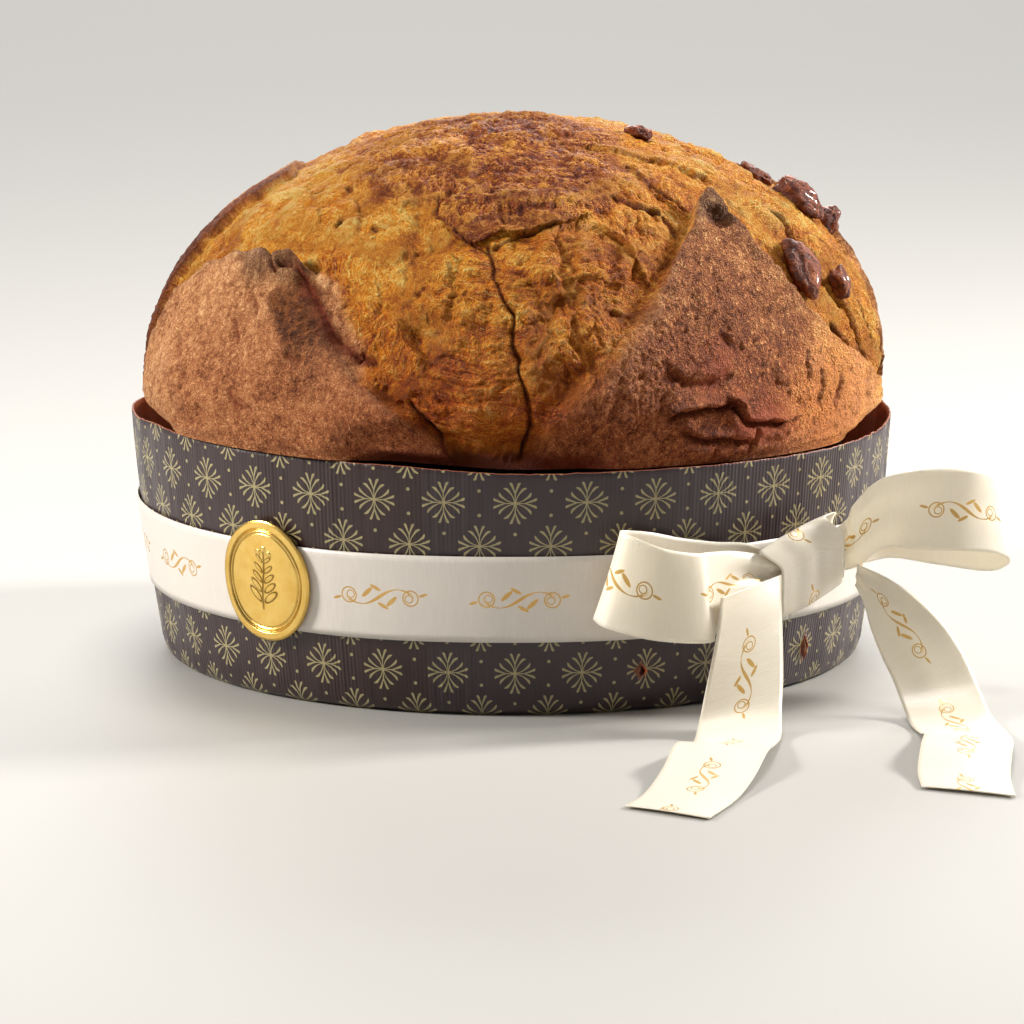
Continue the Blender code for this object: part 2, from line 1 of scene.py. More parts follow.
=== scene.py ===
# Looks for the panettone: torn crust, printed paper case, satin ribbon and bow, gold seal, chestnuts.
# Lengths are in mm until a mesh is made; azimuths turn from the front (-Y) towards +X.
import math

import bmesh
import bpy
import numpy as np
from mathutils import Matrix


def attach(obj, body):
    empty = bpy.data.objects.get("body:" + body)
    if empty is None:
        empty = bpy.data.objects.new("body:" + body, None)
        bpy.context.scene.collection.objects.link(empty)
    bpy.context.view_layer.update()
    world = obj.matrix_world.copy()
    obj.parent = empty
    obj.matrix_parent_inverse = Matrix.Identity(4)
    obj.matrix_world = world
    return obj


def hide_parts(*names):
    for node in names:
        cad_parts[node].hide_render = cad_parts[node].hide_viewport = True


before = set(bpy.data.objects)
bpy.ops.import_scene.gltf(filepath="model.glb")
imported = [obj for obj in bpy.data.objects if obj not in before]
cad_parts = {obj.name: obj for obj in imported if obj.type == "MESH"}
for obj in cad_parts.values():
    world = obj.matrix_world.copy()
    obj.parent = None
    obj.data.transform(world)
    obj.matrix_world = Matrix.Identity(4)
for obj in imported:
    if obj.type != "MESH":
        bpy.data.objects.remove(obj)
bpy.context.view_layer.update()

MM = 0.001
ROOT = "root"

# Loaf, case, band and knot, as in the solids.
DOME_A, DOME_C, DOME_Z, DOME_END = 107.4, 72.6, 85, 100.4
DOME_END_Z, FOOT_BELOW_RIM = 71.9, 0.7
CASE_PROFILE = ((0, 101), (1.5, 103.3), (4.5, 104.4), (21, 106.9), (49, 110.8), (71.5, 112.7))
RIM_Z, RIM_LIFT, RIM_PEAK, RIM_PEAK_AZ = 71.5, 2.2, 1.2, -66
SKEWER_Z = 12.2
BAND_Z = (22, 47)
RIBBON_W = 25
KNOT_CENTRE = (84.6, -84.5, 40)
KNOT_TURN = 41
KNOT_HALF = (11.6, 4.6, 11.4)


def rgb(r, g, b):
    """Display colour 0 to 255 as a linear one."""
    return tuple(((c / 255) / 12.92 if c <= 10 else ((c / 255 + 0.055) / 1.055) ** 2.4) for c in (r, g, b))


def unit(v):
    v = np.asarray(v, float)
    return v / np.maximum(np.linalg.norm(v, axis=-1, keepdims=True), 1e-12)


def smooth(lo, hi, x):
    t = np.clip((np.asarray(x, float) - lo) / (hi - lo), 0, 1)
    return t * t * (3 - 2 * t)


def window(x, lo, hi, soft):
    return smooth(lo - soft, lo + soft, x) * (1 - smooth(hi - soft, hi + soft, x))


def bell(d, half):
    return np.exp(-(np.asarray(d) / half) ** 2)


def falloff(d, reach):
    """1 up to d = 0, and less and less beyond it."""
    return np.exp(-np.maximum(d, 0) / reach)


def polar(r, turn, z):
    """Points at a distance from the axis, a turn in radians and a height."""
    return np.stack(np.broadcast_arrays(r * np.sin(turn), -r * np.cos(turn), z), -1)


def circle(turn, radius, z=0):
    """Places on a circle, to read noise at."""
    return np.stack(np.broadcast_arrays(np.cos(turn) * radius, np.sin(turn) * radius, z), -1)


def value_noise(p, seed):
    """Smooth noise from -1 to 1 on an integer lattice."""
    base = np.floor(p).astype(np.int64)
    f = p - base
    f = f * f * (3 - 2 * f)
    total = np.zeros(len(p))
    for dx in (0, 1):
        wx = f[:, 0] if dx else 1 - f[:, 0]
        hx = (base[:, 0] + dx) * 73856093
        for dy in (0, 1):
            wxy = wx * (f[:, 1] if dy else 1 - f[:, 1])
            hxy = hx ^ (base[:, 1] + dy) * 19349663
            for dz in (0, 1):
                h = hxy ^ (base[:, 2] + dz) * 83492791
                h = (h ^ (seed * 2654435761)) & 0x7FFFFFFF
                h = (h * 1103515245 + 12345) & 0x7FFFFFFF
                h = (h ^ (h >> 13)) * 69069 & 0x7FFFFFFF
                total += wxy * (f[:, 2] if dz else 1 - f[:, 2]) * (h / 0x3FFFFFFF - 1)
    return total


def octaves(layer, p, seed, count, gain, finer, apart):
    """Sum of ever finer layers of noise, from -1 to 1."""
    total, amp, norm = 0, 1, 0
    for k in range(count):
        total = total + amp * layer(p * finer ** k + apart * k, seed + k)
        norm += amp
        amp *= gain
    return total / norm


def fractal(p, seed, count=3, gain=0.5):
    return octaves(value_noise, p, seed, count, gain, 2.03, 17.3)


def ridged(p, seed):
    """Noise with sharp ridges."""
    return octaves(lambda q, s: 1 - 2 * np.abs(value_noise(q, s)), p, seed, 2, 0.5, 1.97, 9.1)


def billow(p, seed):
    """Puffs from 0 to 1 with creases between them."""
    return np.abs(value_noise(p, seed)) ** 0.6


def case_radius(z):
    return np.interp(z, *zip(*CASE_PROFILE))


def rim_height(az):
    """The paper stands higher on the left, where the loaf leans away from it."""
    az = (np.asarray(az, float) + 180) % 360 - 180
    peak = RIM_PEAK * bell(az - RIM_PEAK_AZ, 8)
    return RIM_Z + RIM_LIFT * window(az, -100, -8, 12) + peak + 0.25 * np.sin(np.radians(5 * az))


def spline(points, count):
    """Catmull-Rom curve through points, evenly divided in its parameter."""
    pts = np.array(points, float)
    ext = np.vstack([2 * pts[0] - pts[1], pts, 2 * pts[-1] - pts[-2]])
    t = np.linspace(0, len(pts) - 1, count)
    k = np.minimum(t.astype(int), len(pts) - 2)
    f = (t - k)[:, None]
    a, b, c, d = ext[k], ext[k + 1], ext[k + 2], ext[k + 3]
    square, cube = 2 * a - 5 * b + 4 * c - d, 3 * b - a - 3 * c + d
    return 0.5 * (2 * b + (c - a) * f + square * f ** 2 + cube * f ** 3)


def grid_quads(rows, cols, closed=False):
    """Quads of a grid of rows x cols vertices, closed round each row if asked."""
    i, j = np.meshgrid(np.arange(rows - 1), np.arange(cols if closed else cols - 1), indexing="ij")
    k = (j + 1) % cols
    low, high = i * cols, (i + 1) * cols
    return np.stack([low + j, low + k, high + k, high + j], -1).reshape(-1, 4)


def add_object(name, mesh, mat):
    mesh.materials.append(mat)
    obj = bpy.data.objects.new(name, mesh)
    bpy.context.scene.collection.objects.link(obj)
    return obj


def quad_object(name, verts, quads, mat, values=None, vectors=None, normals=None):
    """Object from arrays: points in mm, quads, and named point values for the material to read."""
    verts = np.asarray(verts, float).reshape(-1, 3)
    quads = np.ascontiguousarray(quads, dtype=np.int32)
    mesh = bpy.data.meshes.new(name)
    mesh.vertices.add(len(verts))
    mesh.vertices.foreach_set("co", (verts * MM).astype(np.float32).ravel())
    mesh.loops.add(quads.size)
    mesh.loops.foreach_set("vertex_index", quads.ravel())
    mesh.polygons.add(len(quads))
    mesh.polygons.foreach_set("loop_start", np.arange(0, quads.size, 4, dtype=np.int32))
    mesh.polygons.foreach_set("loop_total", np.full(len(quads), 4, dtype=np.int32))
    mesh.polygons.foreach_set("use_smooth", np.ones(len(quads), dtype=bool))
    mesh.update(calc_edges=True)
    for items, kind, field in ((values, "FLOAT", "value"), (vectors, "FLOAT_VECTOR", "vector")):
        for key, data in (items or {}).items():
            flat = np.ascontiguousarray(data, dtype=np.float32).ravel()
            mesh.attributes.new(key, kind, "POINT").data.foreach_set(field, flat)
    obj = add_object(name, mesh, mat)
    if normals is not None:
        mesh.normals_split_custom_set_from_vertices(np.asarray(normals, np.float32))
    return obj


def place(obj, slot, node):
    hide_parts(node)
    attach(obj, ROOT)


def operator(kind, turned=False):
    def apply(self, other):
        return self.net.math(kind, *((other, self) if turned else (self, other)))
    return apply


class Wire:
    """Output of a node; arithmetic with it adds math nodes."""

    __add__, __radd__ = operator("ADD"), operator("ADD", True)
    __sub__, __rsub__ = operator("SUBTRACT"), operator("SUBTRACT", True)
    __mul__, __rmul__ = operator("MULTIPLY"), operator("MULTIPLY", True)
    __truediv__, __pow__ = operator("DIVIDE"), operator("POWER")

    def __init__(self, net, socket):
        self.net, self.socket = net, socket

    def __abs__(self):
        return self.net.math("ABSOLUTE", self)


class Net:
    """Short way to write a node material."""

    def __init__(self, name):
        self.mat = bpy.data.materials.new(name)
        self.mat.use_nodes = True
        self.tree = self.mat.node_tree

    def node(self, kind, *sources, out=0, named=(), **props):
        n = self.tree.nodes.new("ShaderNode" + kind)
        for key, value in props.items():
            setattr(n, key, value)
        for slot, source in [*zip(n.inputs, sources), *((n.inputs[key], source) for key, source in named)]:
            self.feed(slot, source)
        return Wire(self, n.outputs[out])

    def feed(self, slot, source):
        if isinstance(source, Wire):
            self.tree.links.new(source.socket, slot)
        elif isinstance(source, tuple) and slot.type == "RGBA" and len(source) == 3:
            slot.default_value = (*source, 1)
        elif source is not None:
            slot.default_value = source

    def math(self, kind, *args):
        return self.node("Math", *args, operation=kind)

    def least(self, first, *others):
        for other in others:
            first = self.math("MINIMUM", first, other)
        return first

    def length(self, a, b):
        return self.math("SQRT", a * a + b * b)

    def repeat(self, x, pitch):
        """Distance from the nearest multiple of the pitch."""
        turns = x / pitch
        return (turns - self.math("FLOOR", turns + 0.5)) * pitch

    def step(self, lo, hi, x):
        return self.node("MapRange", out="Result", interpolation_type="SMOOTHSTEP",
                         named=(("Value", x), ("From Min", lo), ("From Max", hi)))

    def value(self, name):
        return self.node("Attribute", attribute_name=name, out="Fac")

    def vector(self, name):
        return self.node("Attribute", attribute_name=name, out="Vector")

    def split(self, vector):
        outputs = self.node("SeparateXYZ", vector).socket.node.outputs
        return [Wire(self, socket) for socket in outputs]

    def scaled(self, source, scale):
        return self.node("VectorMath", source, scale, operation="MULTIPLY")

    def place(self):
        """Place in the row frame, in mm."""
        return self.scaled(self.node("TexCoord", out="Object"), (1000,) * 3)

    def noise(self, where, scale, detail=2, rough=0.5, warp=0):
        return self.node("TexNoise", out="Fac", named=(
            ("Vector", where), ("Scale", scale), ("Detail", detail), ("Roughness", rough),
            ("Distortion", warp)))

    def ramp(self, fac, *stops):
        """Colours from stops: place and display colour."""
        ramp = self.node("ValToRGB", fac)
        bar = ramp.socket.node.color_ramp.elements
        while len(bar) < len(stops):
            bar.new(0.5)
        for item, (at, *colour) in zip(bar, stops):
            item.position = at
            item.color = (*rgb(*colour), 1)
        return ramp

    def mix(self, fac, a, b, blend="MIX"):
        """Mix of two colours, whose sockets come after five that colours don't use."""
        return self.node("Mix", fac, *[None] * 5, a, b, data_type="RGBA", blend_type=blend, out=2)

    def bump(self, height, distance, strength):
        return self.node("Bump", named=(("Strength", strength), ("Distance", distance), ("Height", height)))

    def finish(self, **inputs):
        for key, value in inputs.items():
            self.feed(self.tree.nodes["Principled BSDF"].inputs[key.replace("_", " ")], value)
        return self.mat


# Camera, floor and light; the camera is the photo's.
VIEW_E, VIEW_D, VIEW_Z = math.radians(10.3), 1.65, 0.0397
LENS, SENSOR = 194.6, 36
FLOOR_HALF = 6
LAMPS_AIM = (0, 0, 0.07)
# Name, place, size, power and tint.
LAMPS = (
    ("key_left", (-0.98, -0.20, 0.58), (0.24, 0.24), 15, (1, 0.965, 0.92)),
    ("key_right", (0.97, 0.24, 0.56), (0.22, 0.22), 21, (1, 0.97, 0.93)),
    ("above", (0, 0.15, 1.1), (0.4, 0.4), 7, (1, 0.98, 0.96)),
    ("backdrop", (0, 3.6, 1.6), (3, 1), 74, (1, 0.99, 0.97)),
)


def make_stage():
    scene = bpy.context.scene
    cam = bpy.data.cameras.new("camera")
    cam.lens, cam.sensor_width, cam.clip_end = LENS, SENSOR, 50
    eye = bpy.data.objects.new("camera", cam)
    eye.location = (0, -VIEW_D * math.cos(VIEW_E), VIEW_Z + VIEW_D * math.sin(VIEW_E))
    eye.rotation_euler = (math.pi / 2 - VIEW_E, 0, 0)
    scene.collection.objects.link(eye)
    scene.camera = eye

    mesh = bpy.data.meshes.new("floor")
    corners = [(x * FLOOR_HALF, y * FLOOR_HALF, 0) for x, y in ((-1, -1), (1, -1), (1, 1), (-1, 1))]
    mesh.from_pydata(corners, [], [(0, 1, 2, 3)])
    plane = add_object("floor", mesh, Net("stage_floor").finish(Base_Color=rgb(166, 164, 160), Roughness=0.6))

    world = bpy.data.worlds.new("studio")
    world.use_nodes = True
    back = world.node_tree.nodes["Background"]
    back.inputs["Color"].default_value = (*rgb(229, 227, 223), 1)
    back.inputs["Strength"].default_value = 0.46
    scene.world = world

    for name, place_at, size, power, tint in LAMPS:
        data = bpy.data.lights.new(name, "AREA")
        data.shape = "RECTANGLE"
        data.size, data.size_y = size
        data.energy = power
        data.color = tint
        lamp = bpy.data.objects.new(name, data)
        lamp.location = place_at
        x, y, z = np.subtract(LAMPS_AIM, place_at)
        lamp.rotation_euler = (math.atan2(math.hypot(x, y), -z), 0, math.atan2(-x, y))
        scene.collection.objects.link(lamp)
    scene.view_settings.view_transform = "Standard"
    scene.view_settings.look = "None"


# Flap edges and folds on the dome's chart, in degrees from the top: (towards +X, towards the front).
FLAP_FRONT_RIGHT = ((3.7, 101.5), (6.7, 93.7), (16.6, 81.9), (21.3, 72.3), (25.6, 62.2), (27.8, 52),
                    (29.9, 40.7), (30.6, 32.6), (31.5, 29.6), (34.1, 30.6), (38.5, 33.3), (48.6, 38.3),
                    (58, 41.4), (67.8, 40), (78.5, 33.2), (88, 26), (101, 18))
FLAP_FRONT_LEFT = ((-13.4, 101.5), (-16.3, 93.7), (-25, 84.4), (-31.7, 75.7), (-35.9, 66.2),
                   (-37, 55), (-36.9, 47.8), (-38.1, 42.8), (-41.9, 41.6), (-43.2, 38.1),
                   (-49.5, 31.6), (-56.6, 27), (-65.9, 22.9), (-78.2, 20), (-90, 22.5), (-99, 26))
FLAP_BACK_LEFT = ((-98, 24.5), (-88, 17), (-78, 14), (-69, 12), (-57, 9.5), (-46, 7),
                  (-40, 4), (-38, -2), (-36.5, -12), (-35, -30), (-37, -50),
                  (-40, -68), (-34, -84), (-22, -100))
FLAP_BACK_RIGHT = ((20, -100.5), (33, -86), (41, -70), (37, -52), (35, -34), (37, -18),
                   (48, -9), (60, -6.5), (75, -3), (88, 2.5), (101, 5))
# Flaps: name, edge, rise over it and at its edge, dip of the crumb before it, curl, coarseness of its skin.
FLAPS = (
    ("front_right", FLAP_FRONT_RIGHT, 1.2, 1.8, 2.6, 1.5, 1),
    ("front_left", FLAP_FRONT_LEFT, 1.2, 1.8, 2.6, 1.3, 0.25),
    ("back_left", FLAP_BACK_LEFT, 0.6, 1, 1, 0.5, 0.4),
    ("back_right", FLAP_BACK_RIGHT, 0.8, 1.2, 1, 0.7, 1),
)
TOP_PATCH = ((-26.8, 9.2), (-26.2, 23), (-24.6, 31.7), (-21.3, 36.4), (-15.7, 35.9), (-11.9, 36.9),
             (-11.8, 42.2), (-9.6, 48.4), (-5.8, 49.4), (-2, 47.1), (1.3, 47.9), (8, 45.6),
             (12.8, 41.6), (15.7, 32.1), (17.1, 22.7), (15.2, 6.9), (4.1, -3.2), (-14, -3))

# Fissures: (depth, half width, course).
FISSURES = (
    (2.2, 0.52, ((-3.8, 49.9), (-3.3, 54), (-2.9, 58.2), (-1, 63.7), (0.4, 66.2), (0, 70.6), (0.3, 73.6),
                 (1.6, 76.5), (1, 79.4), (3.3, 84.3), (4.2, 90.9), (3, 96), (2.3, 99))),
    (1, 0.4, ((8.1, 45.4), (4, 47.6), (1.3, 48.1), (-3.5, 51.5))),
    (0.9, 0.4, ((-11.9, 36), (-12.1, 41.1), (-8.5, 48), (-3.5, 51.5))),
    (1.5, 0.5, ((-22.5, 82.8), (-19.8, 88.2), (-17.3, 91.8), (-15.8, 97.8))),
    (1.8, 1.5, ((-38.9, 42.9), (-37.9, 51.1), (-37.2, 57), (-36, 64), (-31.8, 70.5), (-27, 74))),
    (3.4, 0.9, ((36.5, 30.5), (39.5, 31.5), (44.8, 33.4), (50.3, 36.2), (56.2, 38.7))),
    (3, 1, ((43.6, 17), (49.2, 21.8), (59.6, 26.9), (68, 27.1))),
    (3.6, 0.9, ((64.9, 25.3), (73.1, 26.5), (79.3, 25.9), (88, 23))),
    (3, 0.8, ((62, 12), (68, 17), (75, 18.5), (84, 17.5))),
    (2.4, 0.8, ((66, 34), (74, 33), (82, 29))),
    (2, 0.7, ((78, 12), (84, 12), (92, 10))),
    (1.4, 0.6, ((17.8, 21), (20.5, 24.3), (22.9, 28.2), (27, 30), (30.4, 30.8))),
    (1.2, 0.6, ((14.6, 34.8), (19.1, 36.2), (22.1, 36.5), (25.5, 37.3), (28.8, 41.9))),
    (1.8, 1.3, ((-29.8, 36), (-28.6, 36.4))),
    (1.2, 1, ((-27.5, 25), (-26.9, 27))),
    (1.2, 0.9, ((-33, 22), (-31.6, 21.4))),
    (1.4, 1, ((-24, 41), (-22.8, 42.4))),
    (5, 1.3, ((-1, -40), (3, -55), (-2, -72), (2, -98))),
    (2.4, 1, ((-14, -60), (-18, -75), (-12, -92))),
    (2.2, 0.9, ((12, -52), (18, -66), (14, -80))),
)
# Overlapping folds: (height, far reach, near reach, course); the high side is to the course's left.
FOLDS = (
    (1.1, 8, 2.2, ((-0.5, 57.4), (3.2, 55.3), (6.3, 56), (8.9, 58.7), (9.5, 61.5), (5.4, 65.9))),
    (1, 9, 2.4, ((6.1, 49.1), (12.3, 46.5), (15.8, 50.3), (16.8, 56.1), (15.3, 61.7), (11.6, 64))),
    (1.2, 6, 2.2, ((30.7, 33.5), (26.4, 30.9), (22.9, 29.2), (20.5, 24.8), (17.8, 22.5))),
    (1.1, 6, 2.2, ((28.2, 41.9), (25.5, 37.3), (22.1, 36.5), (19.1, 36.4), (16.3, 35.8))),
    (1.2, 7, 2.2, ((25.6, 57.1), (22.6, 51.3), (18, 46), (12.7, 42.9))),
    (2.2, 5, 2, ((-34.3, 72.8), (-29.3, 69.7), (-25.9, 67.5), (-23.2, 65.9), (-20.5, 64.8))),
    (1.9, 5, 2.4, ((-21.4, 64.6), (-20.6, 68.7), (-19.4, 72.8), (-17, 76))),
    (1.6, 6, 2.4, ((-29.9, 77.4), (-27.3, 81.6), (-23.3, 84.4), (-20, 87.5))),
    (0.8, 8, 3.6, ((-34.7, 15.3), (-32.6, 27), (-33.6, 37.9))),
    (1.5, 7, 2.2, ((36.4, 8.3), (40.8, 12.3), (43.4, 21.8))),
    (1.6, 6, 2.2, ((47.6, 12.8), (52.4, 18.1), (60.8, 13.9), (68, 19))),
    (1.1, 8, 2.6, ((36.6, 18.6), (27.2, 16.5), (17.1, 17.2), (7.5, 16.5))),
    (1.2, 8, 2.4, ((-20, 52), (-15.5, 50.5), (-11, 51.5), (-8, 55))),
    (1, 6, 2.2, ((-18, 60.5), (-14, 62.5), (-9, 62), (-4, 64))),
    (0.8, 7, 3.4, ((-11.4, 51), (-11.1, 60.2), (-12.7, 68.5))),
    (0.8, 7, 3.4, ((-25.3, 51.3), (-24.4, 59.5), (-27.6, 64.7))),
    (1, 6, 1.8, ((6.1, 47.7), (9.1, 54.1), (5.6, 60.8))),
    (1, 6, 1.8, ((11.8, 65), (11.5, 72.2), (15.3, 77.4))),
    (1.2, 6, 1.8, ((17.7, 39.5), (21.9, 43.9), (21.8, 53.8), (19.5, 59.8))),
    (1.1, 6, 1.8, ((11.8, 25.1), (17.2, 29.1), (25, 36.3), (27.7, 42.9))),
    (1, 6, 1.8, ((29.9, 18.1), (36.3, 23.9), (39.8, 26.8))),
    (0.8, 7, 3.4, ((-26.7, 27.3), (-25.2, 36.8), (-27, 43.3))),
    (0.9, 7, 1.8, ((-20.3, 85.3), (-12.4, 84.9), (-4.8, 86.8))),
    (1.6, 8, 3, ((-8, -48), (-14, -58), (-22, -66))),
    (1.6, 8, 3, ((24, -44), (16, -58), (20, -76))),
)
# Creases and dents in the skin: (depth, half width, bright lip below, course).
DENTS = (
    (2.6, 0.7, 1.3, ((46, 73.6), (50, 73.6), (54, 75), (58, 72.4), (63, 69.2), (67.4, 62.7))),
    (2.4, 0.8, 1.2, ((34.5, 84), (38.5, 81), (43.4, 78), (48.5, 74.3), (52.6, 74.2))),
    (1.2, 1.5, 0.5, ((31, 74), (38, 74.5), (43.6, 71.2), (47.2, 67.2))),
    (2, 0.8, 0.9, ((38, 84.6), (44.4, 84), (49.2, 81.9), (54.2, 78.9), (59, 76.5))),
    (0.9, 0.7, 0.3, ((57.4, 73.4), (58.6, 77), (58.4, 80))),
    (1, 0.8, 0.3, ((49.6, 83), (50.6, 87), (50.4, 90))),
    (1, 2.6, 0, ((52.5, 64.4), (57.6, 63.4), (61.6, 60.4))),
    (0.8, 1.4, 0.2, ((40.5, 60.5), (45, 62), (47.5, 60))),
    (0.6, 0.9, 0.2, ((66, 50), (69.5, 53), (71, 57.5))),
    (0.6, 0.8, 0.2, ((61.5, 49), (63, 53), (66, 56))),
    (0.6, 0.8, 0.2, ((72, 45), (74.5, 48.5), (76, 53))),
    (1.1, 1.5, 0.2, ((-69.6, 37), (-70.4, 41.9))),
    (0.8, 1.3, 0.2, ((-71.5, 45.3), (-71.1, 47.9))),
    (0.9, 1.4, 0.2, ((-72, 58), (-71.4, 60))),
    (1, 1.3, 0.2, ((-44.6, 64.7), (-43, 66.7))),
    (0.6, 0.9, 0.2, ((-49, 47), (-49.5, 52))),
    (0.5, 0.8, 0.2, ((-54.5, 48), (-55.5, 54))),
    (0.7, 0.8, 0.2, ((-62, 60), (-60.5, 66), (-57, 70))),
    (2.4, 0.9, 0.3, ((-40.8, 44.6), (-39.4, 45))),
    (1.5, 0.6, 0.2, ((-42.3, 41), (-42.5, 45))),
    (2.3, 2.6, 0, ((32.9, 32.6), (34.6, 34.4), (36.4, 36.2))),
)
# Where the front right flap's skin is bare and pinkish; round it, it is golden.
ROSY = ((32.2, 24.2), (41.1, 33.6), (50.3, 35.7), (60, 35.3), (68.4, 34.6), (74.9, 43.3),
        (76.3, 57.7), (56.5, 80.5), (41.8, 88.4), (41.6, 80.4), (45.7, 71.7), (38.4, 72),
        (30.3, 75.1), (24.2, 70.8), (27.3, 61.3), (28.7, 46.8), (29.4, 38.5))

# Degrees on the chart, well beyond the dome's foot.
FAR_OUT = 150
# Radius in mm that the loaf keeps to below the rim.
PAPER_INSIDE = 111.3
# Grid cells along a quadrant's sides, and the share of them that a back quadrant has in its rows.
CELLS, QUICK_CELLS, BACK_ROWS = 340, 150, 0.4


def dome(u, v):
    """Points and outward directions of the plain dome at chart places in degrees."""
    phi = np.radians(np.hypot(u, v))
    az = np.arctan2(u, v)
    deg, down = np.degrees(az), np.degrees(phi)
    bulge = 3 * window(deg, -76, 76, 14) + 3.2 * window(deg, -64, -16, 8)
    bulge = bulge + 0.6 * window(deg, 66, 112, 12)
    # How far the foot goes down to the rim: at the front all the way, at the back in part.
    hold = window(deg, -66, 66, 10) + 0.6 * (1 - window(deg, -124, 124, 14))
    a = DOME_A + smooth(70, 94, down) * bulge - 9 * smooth(95, 102, down) * (1 - hold)
    ring = np.where(down > 90, np.sin(phi) + (1 - np.sin(phi)) * hold, np.sin(phi))
    foot = rim_height(deg) - FOOT_BELOW_RIM - DOME_END_Z
    z = DOME_Z + DOME_C * np.cos(phi) + smooth(86, DOME_END, down) * hold * foot
    return polar(a * ring, az, z), unit(polar(np.sin(phi) / DOME_A, az, np.cos(phi) / DOME_C))


def dome_point(u, v):
    p, n = dome(np.array([u]), np.array([v]))
    return p[0], n[0]


def nearest(p, course):
    """Distance in mm from surface points to a course, the nearest point on it and how far along it is."""
    course = np.array(course, float)
    q, _ = dome(course[:, 0], course[:, 1])
    best = np.full(len(p), 1e9)
    at = np.zeros_like(p)
    along = np.zeros(len(p))
    for k, (a, b) in enumerate(zip(q[:-1], q[1:])):
        ab = b - a
        t = np.clip((p - a) @ ab / (ab @ ab), 0, 1)
        c = a + t[:, None] * ab
        d = np.linalg.norm(p - c, axis=1)
        closer = d < best
        best = np.where(closer, d, best)
        at[closer] = c[closer]
        along = np.where(closer, (k + t) / (len(q) - 1), along)
    return best, at, along


def inside(u, v, outline):
    outline = np.array(outline, float)
    hit = np.zeros(len(u), bool)
    for (x0, y0), (x1, y1) in zip(outline, np.roll(outline, -1, 0)):
        if y0 != y1:
            hit ^= ((y0 > v) != (y1 > v)) & (u < (x1 - x0) * (v - y0) / (y1 - y0) + x0)
    return hit


def flap_outline(edge):
    """The edge, closed by an arc far outside the dome."""
    mid = math.atan2(sum(e[0] for e in edge), sum(e[1] for e in edge))

    def turn(place):
        return mid + (math.atan2(*place) - mid + math.pi) % (2 * math.pi) - math.pi

    arc = np.linspace(turn(edge[-1]), turn(edge[0]), 9)
    return [*edge, *zip(FAR_OUT * np.sin(arc), FAR_OUT * np.cos(arc))]


def fold_side(u, v, course):
    """Which side of a course each place is on, from its nearest segment: +1 left, -1 right."""
    course = np.array(course, float)
    best = np.full(len(u), 1e9)
    side = np.zeros(len(u))
    for (x0, y0), (x1, y1) in zip(course[:-1], course[1:]):
        dx, dy = x1 - x0, y1 - y0
        t = np.clip(((u - x0) * dx + (v - y0) * dy) / (dx * dx + dy * dy), 0, 1)
        d = np.hypot(u - x0 - t * dx, v - y0 - t * dy)
        closer = d < best
        best = np.where(closer, d, best)
        side = np.where(closer, np.sign(dx * (v - y0) - dy * (u - x0)), side)
    return side


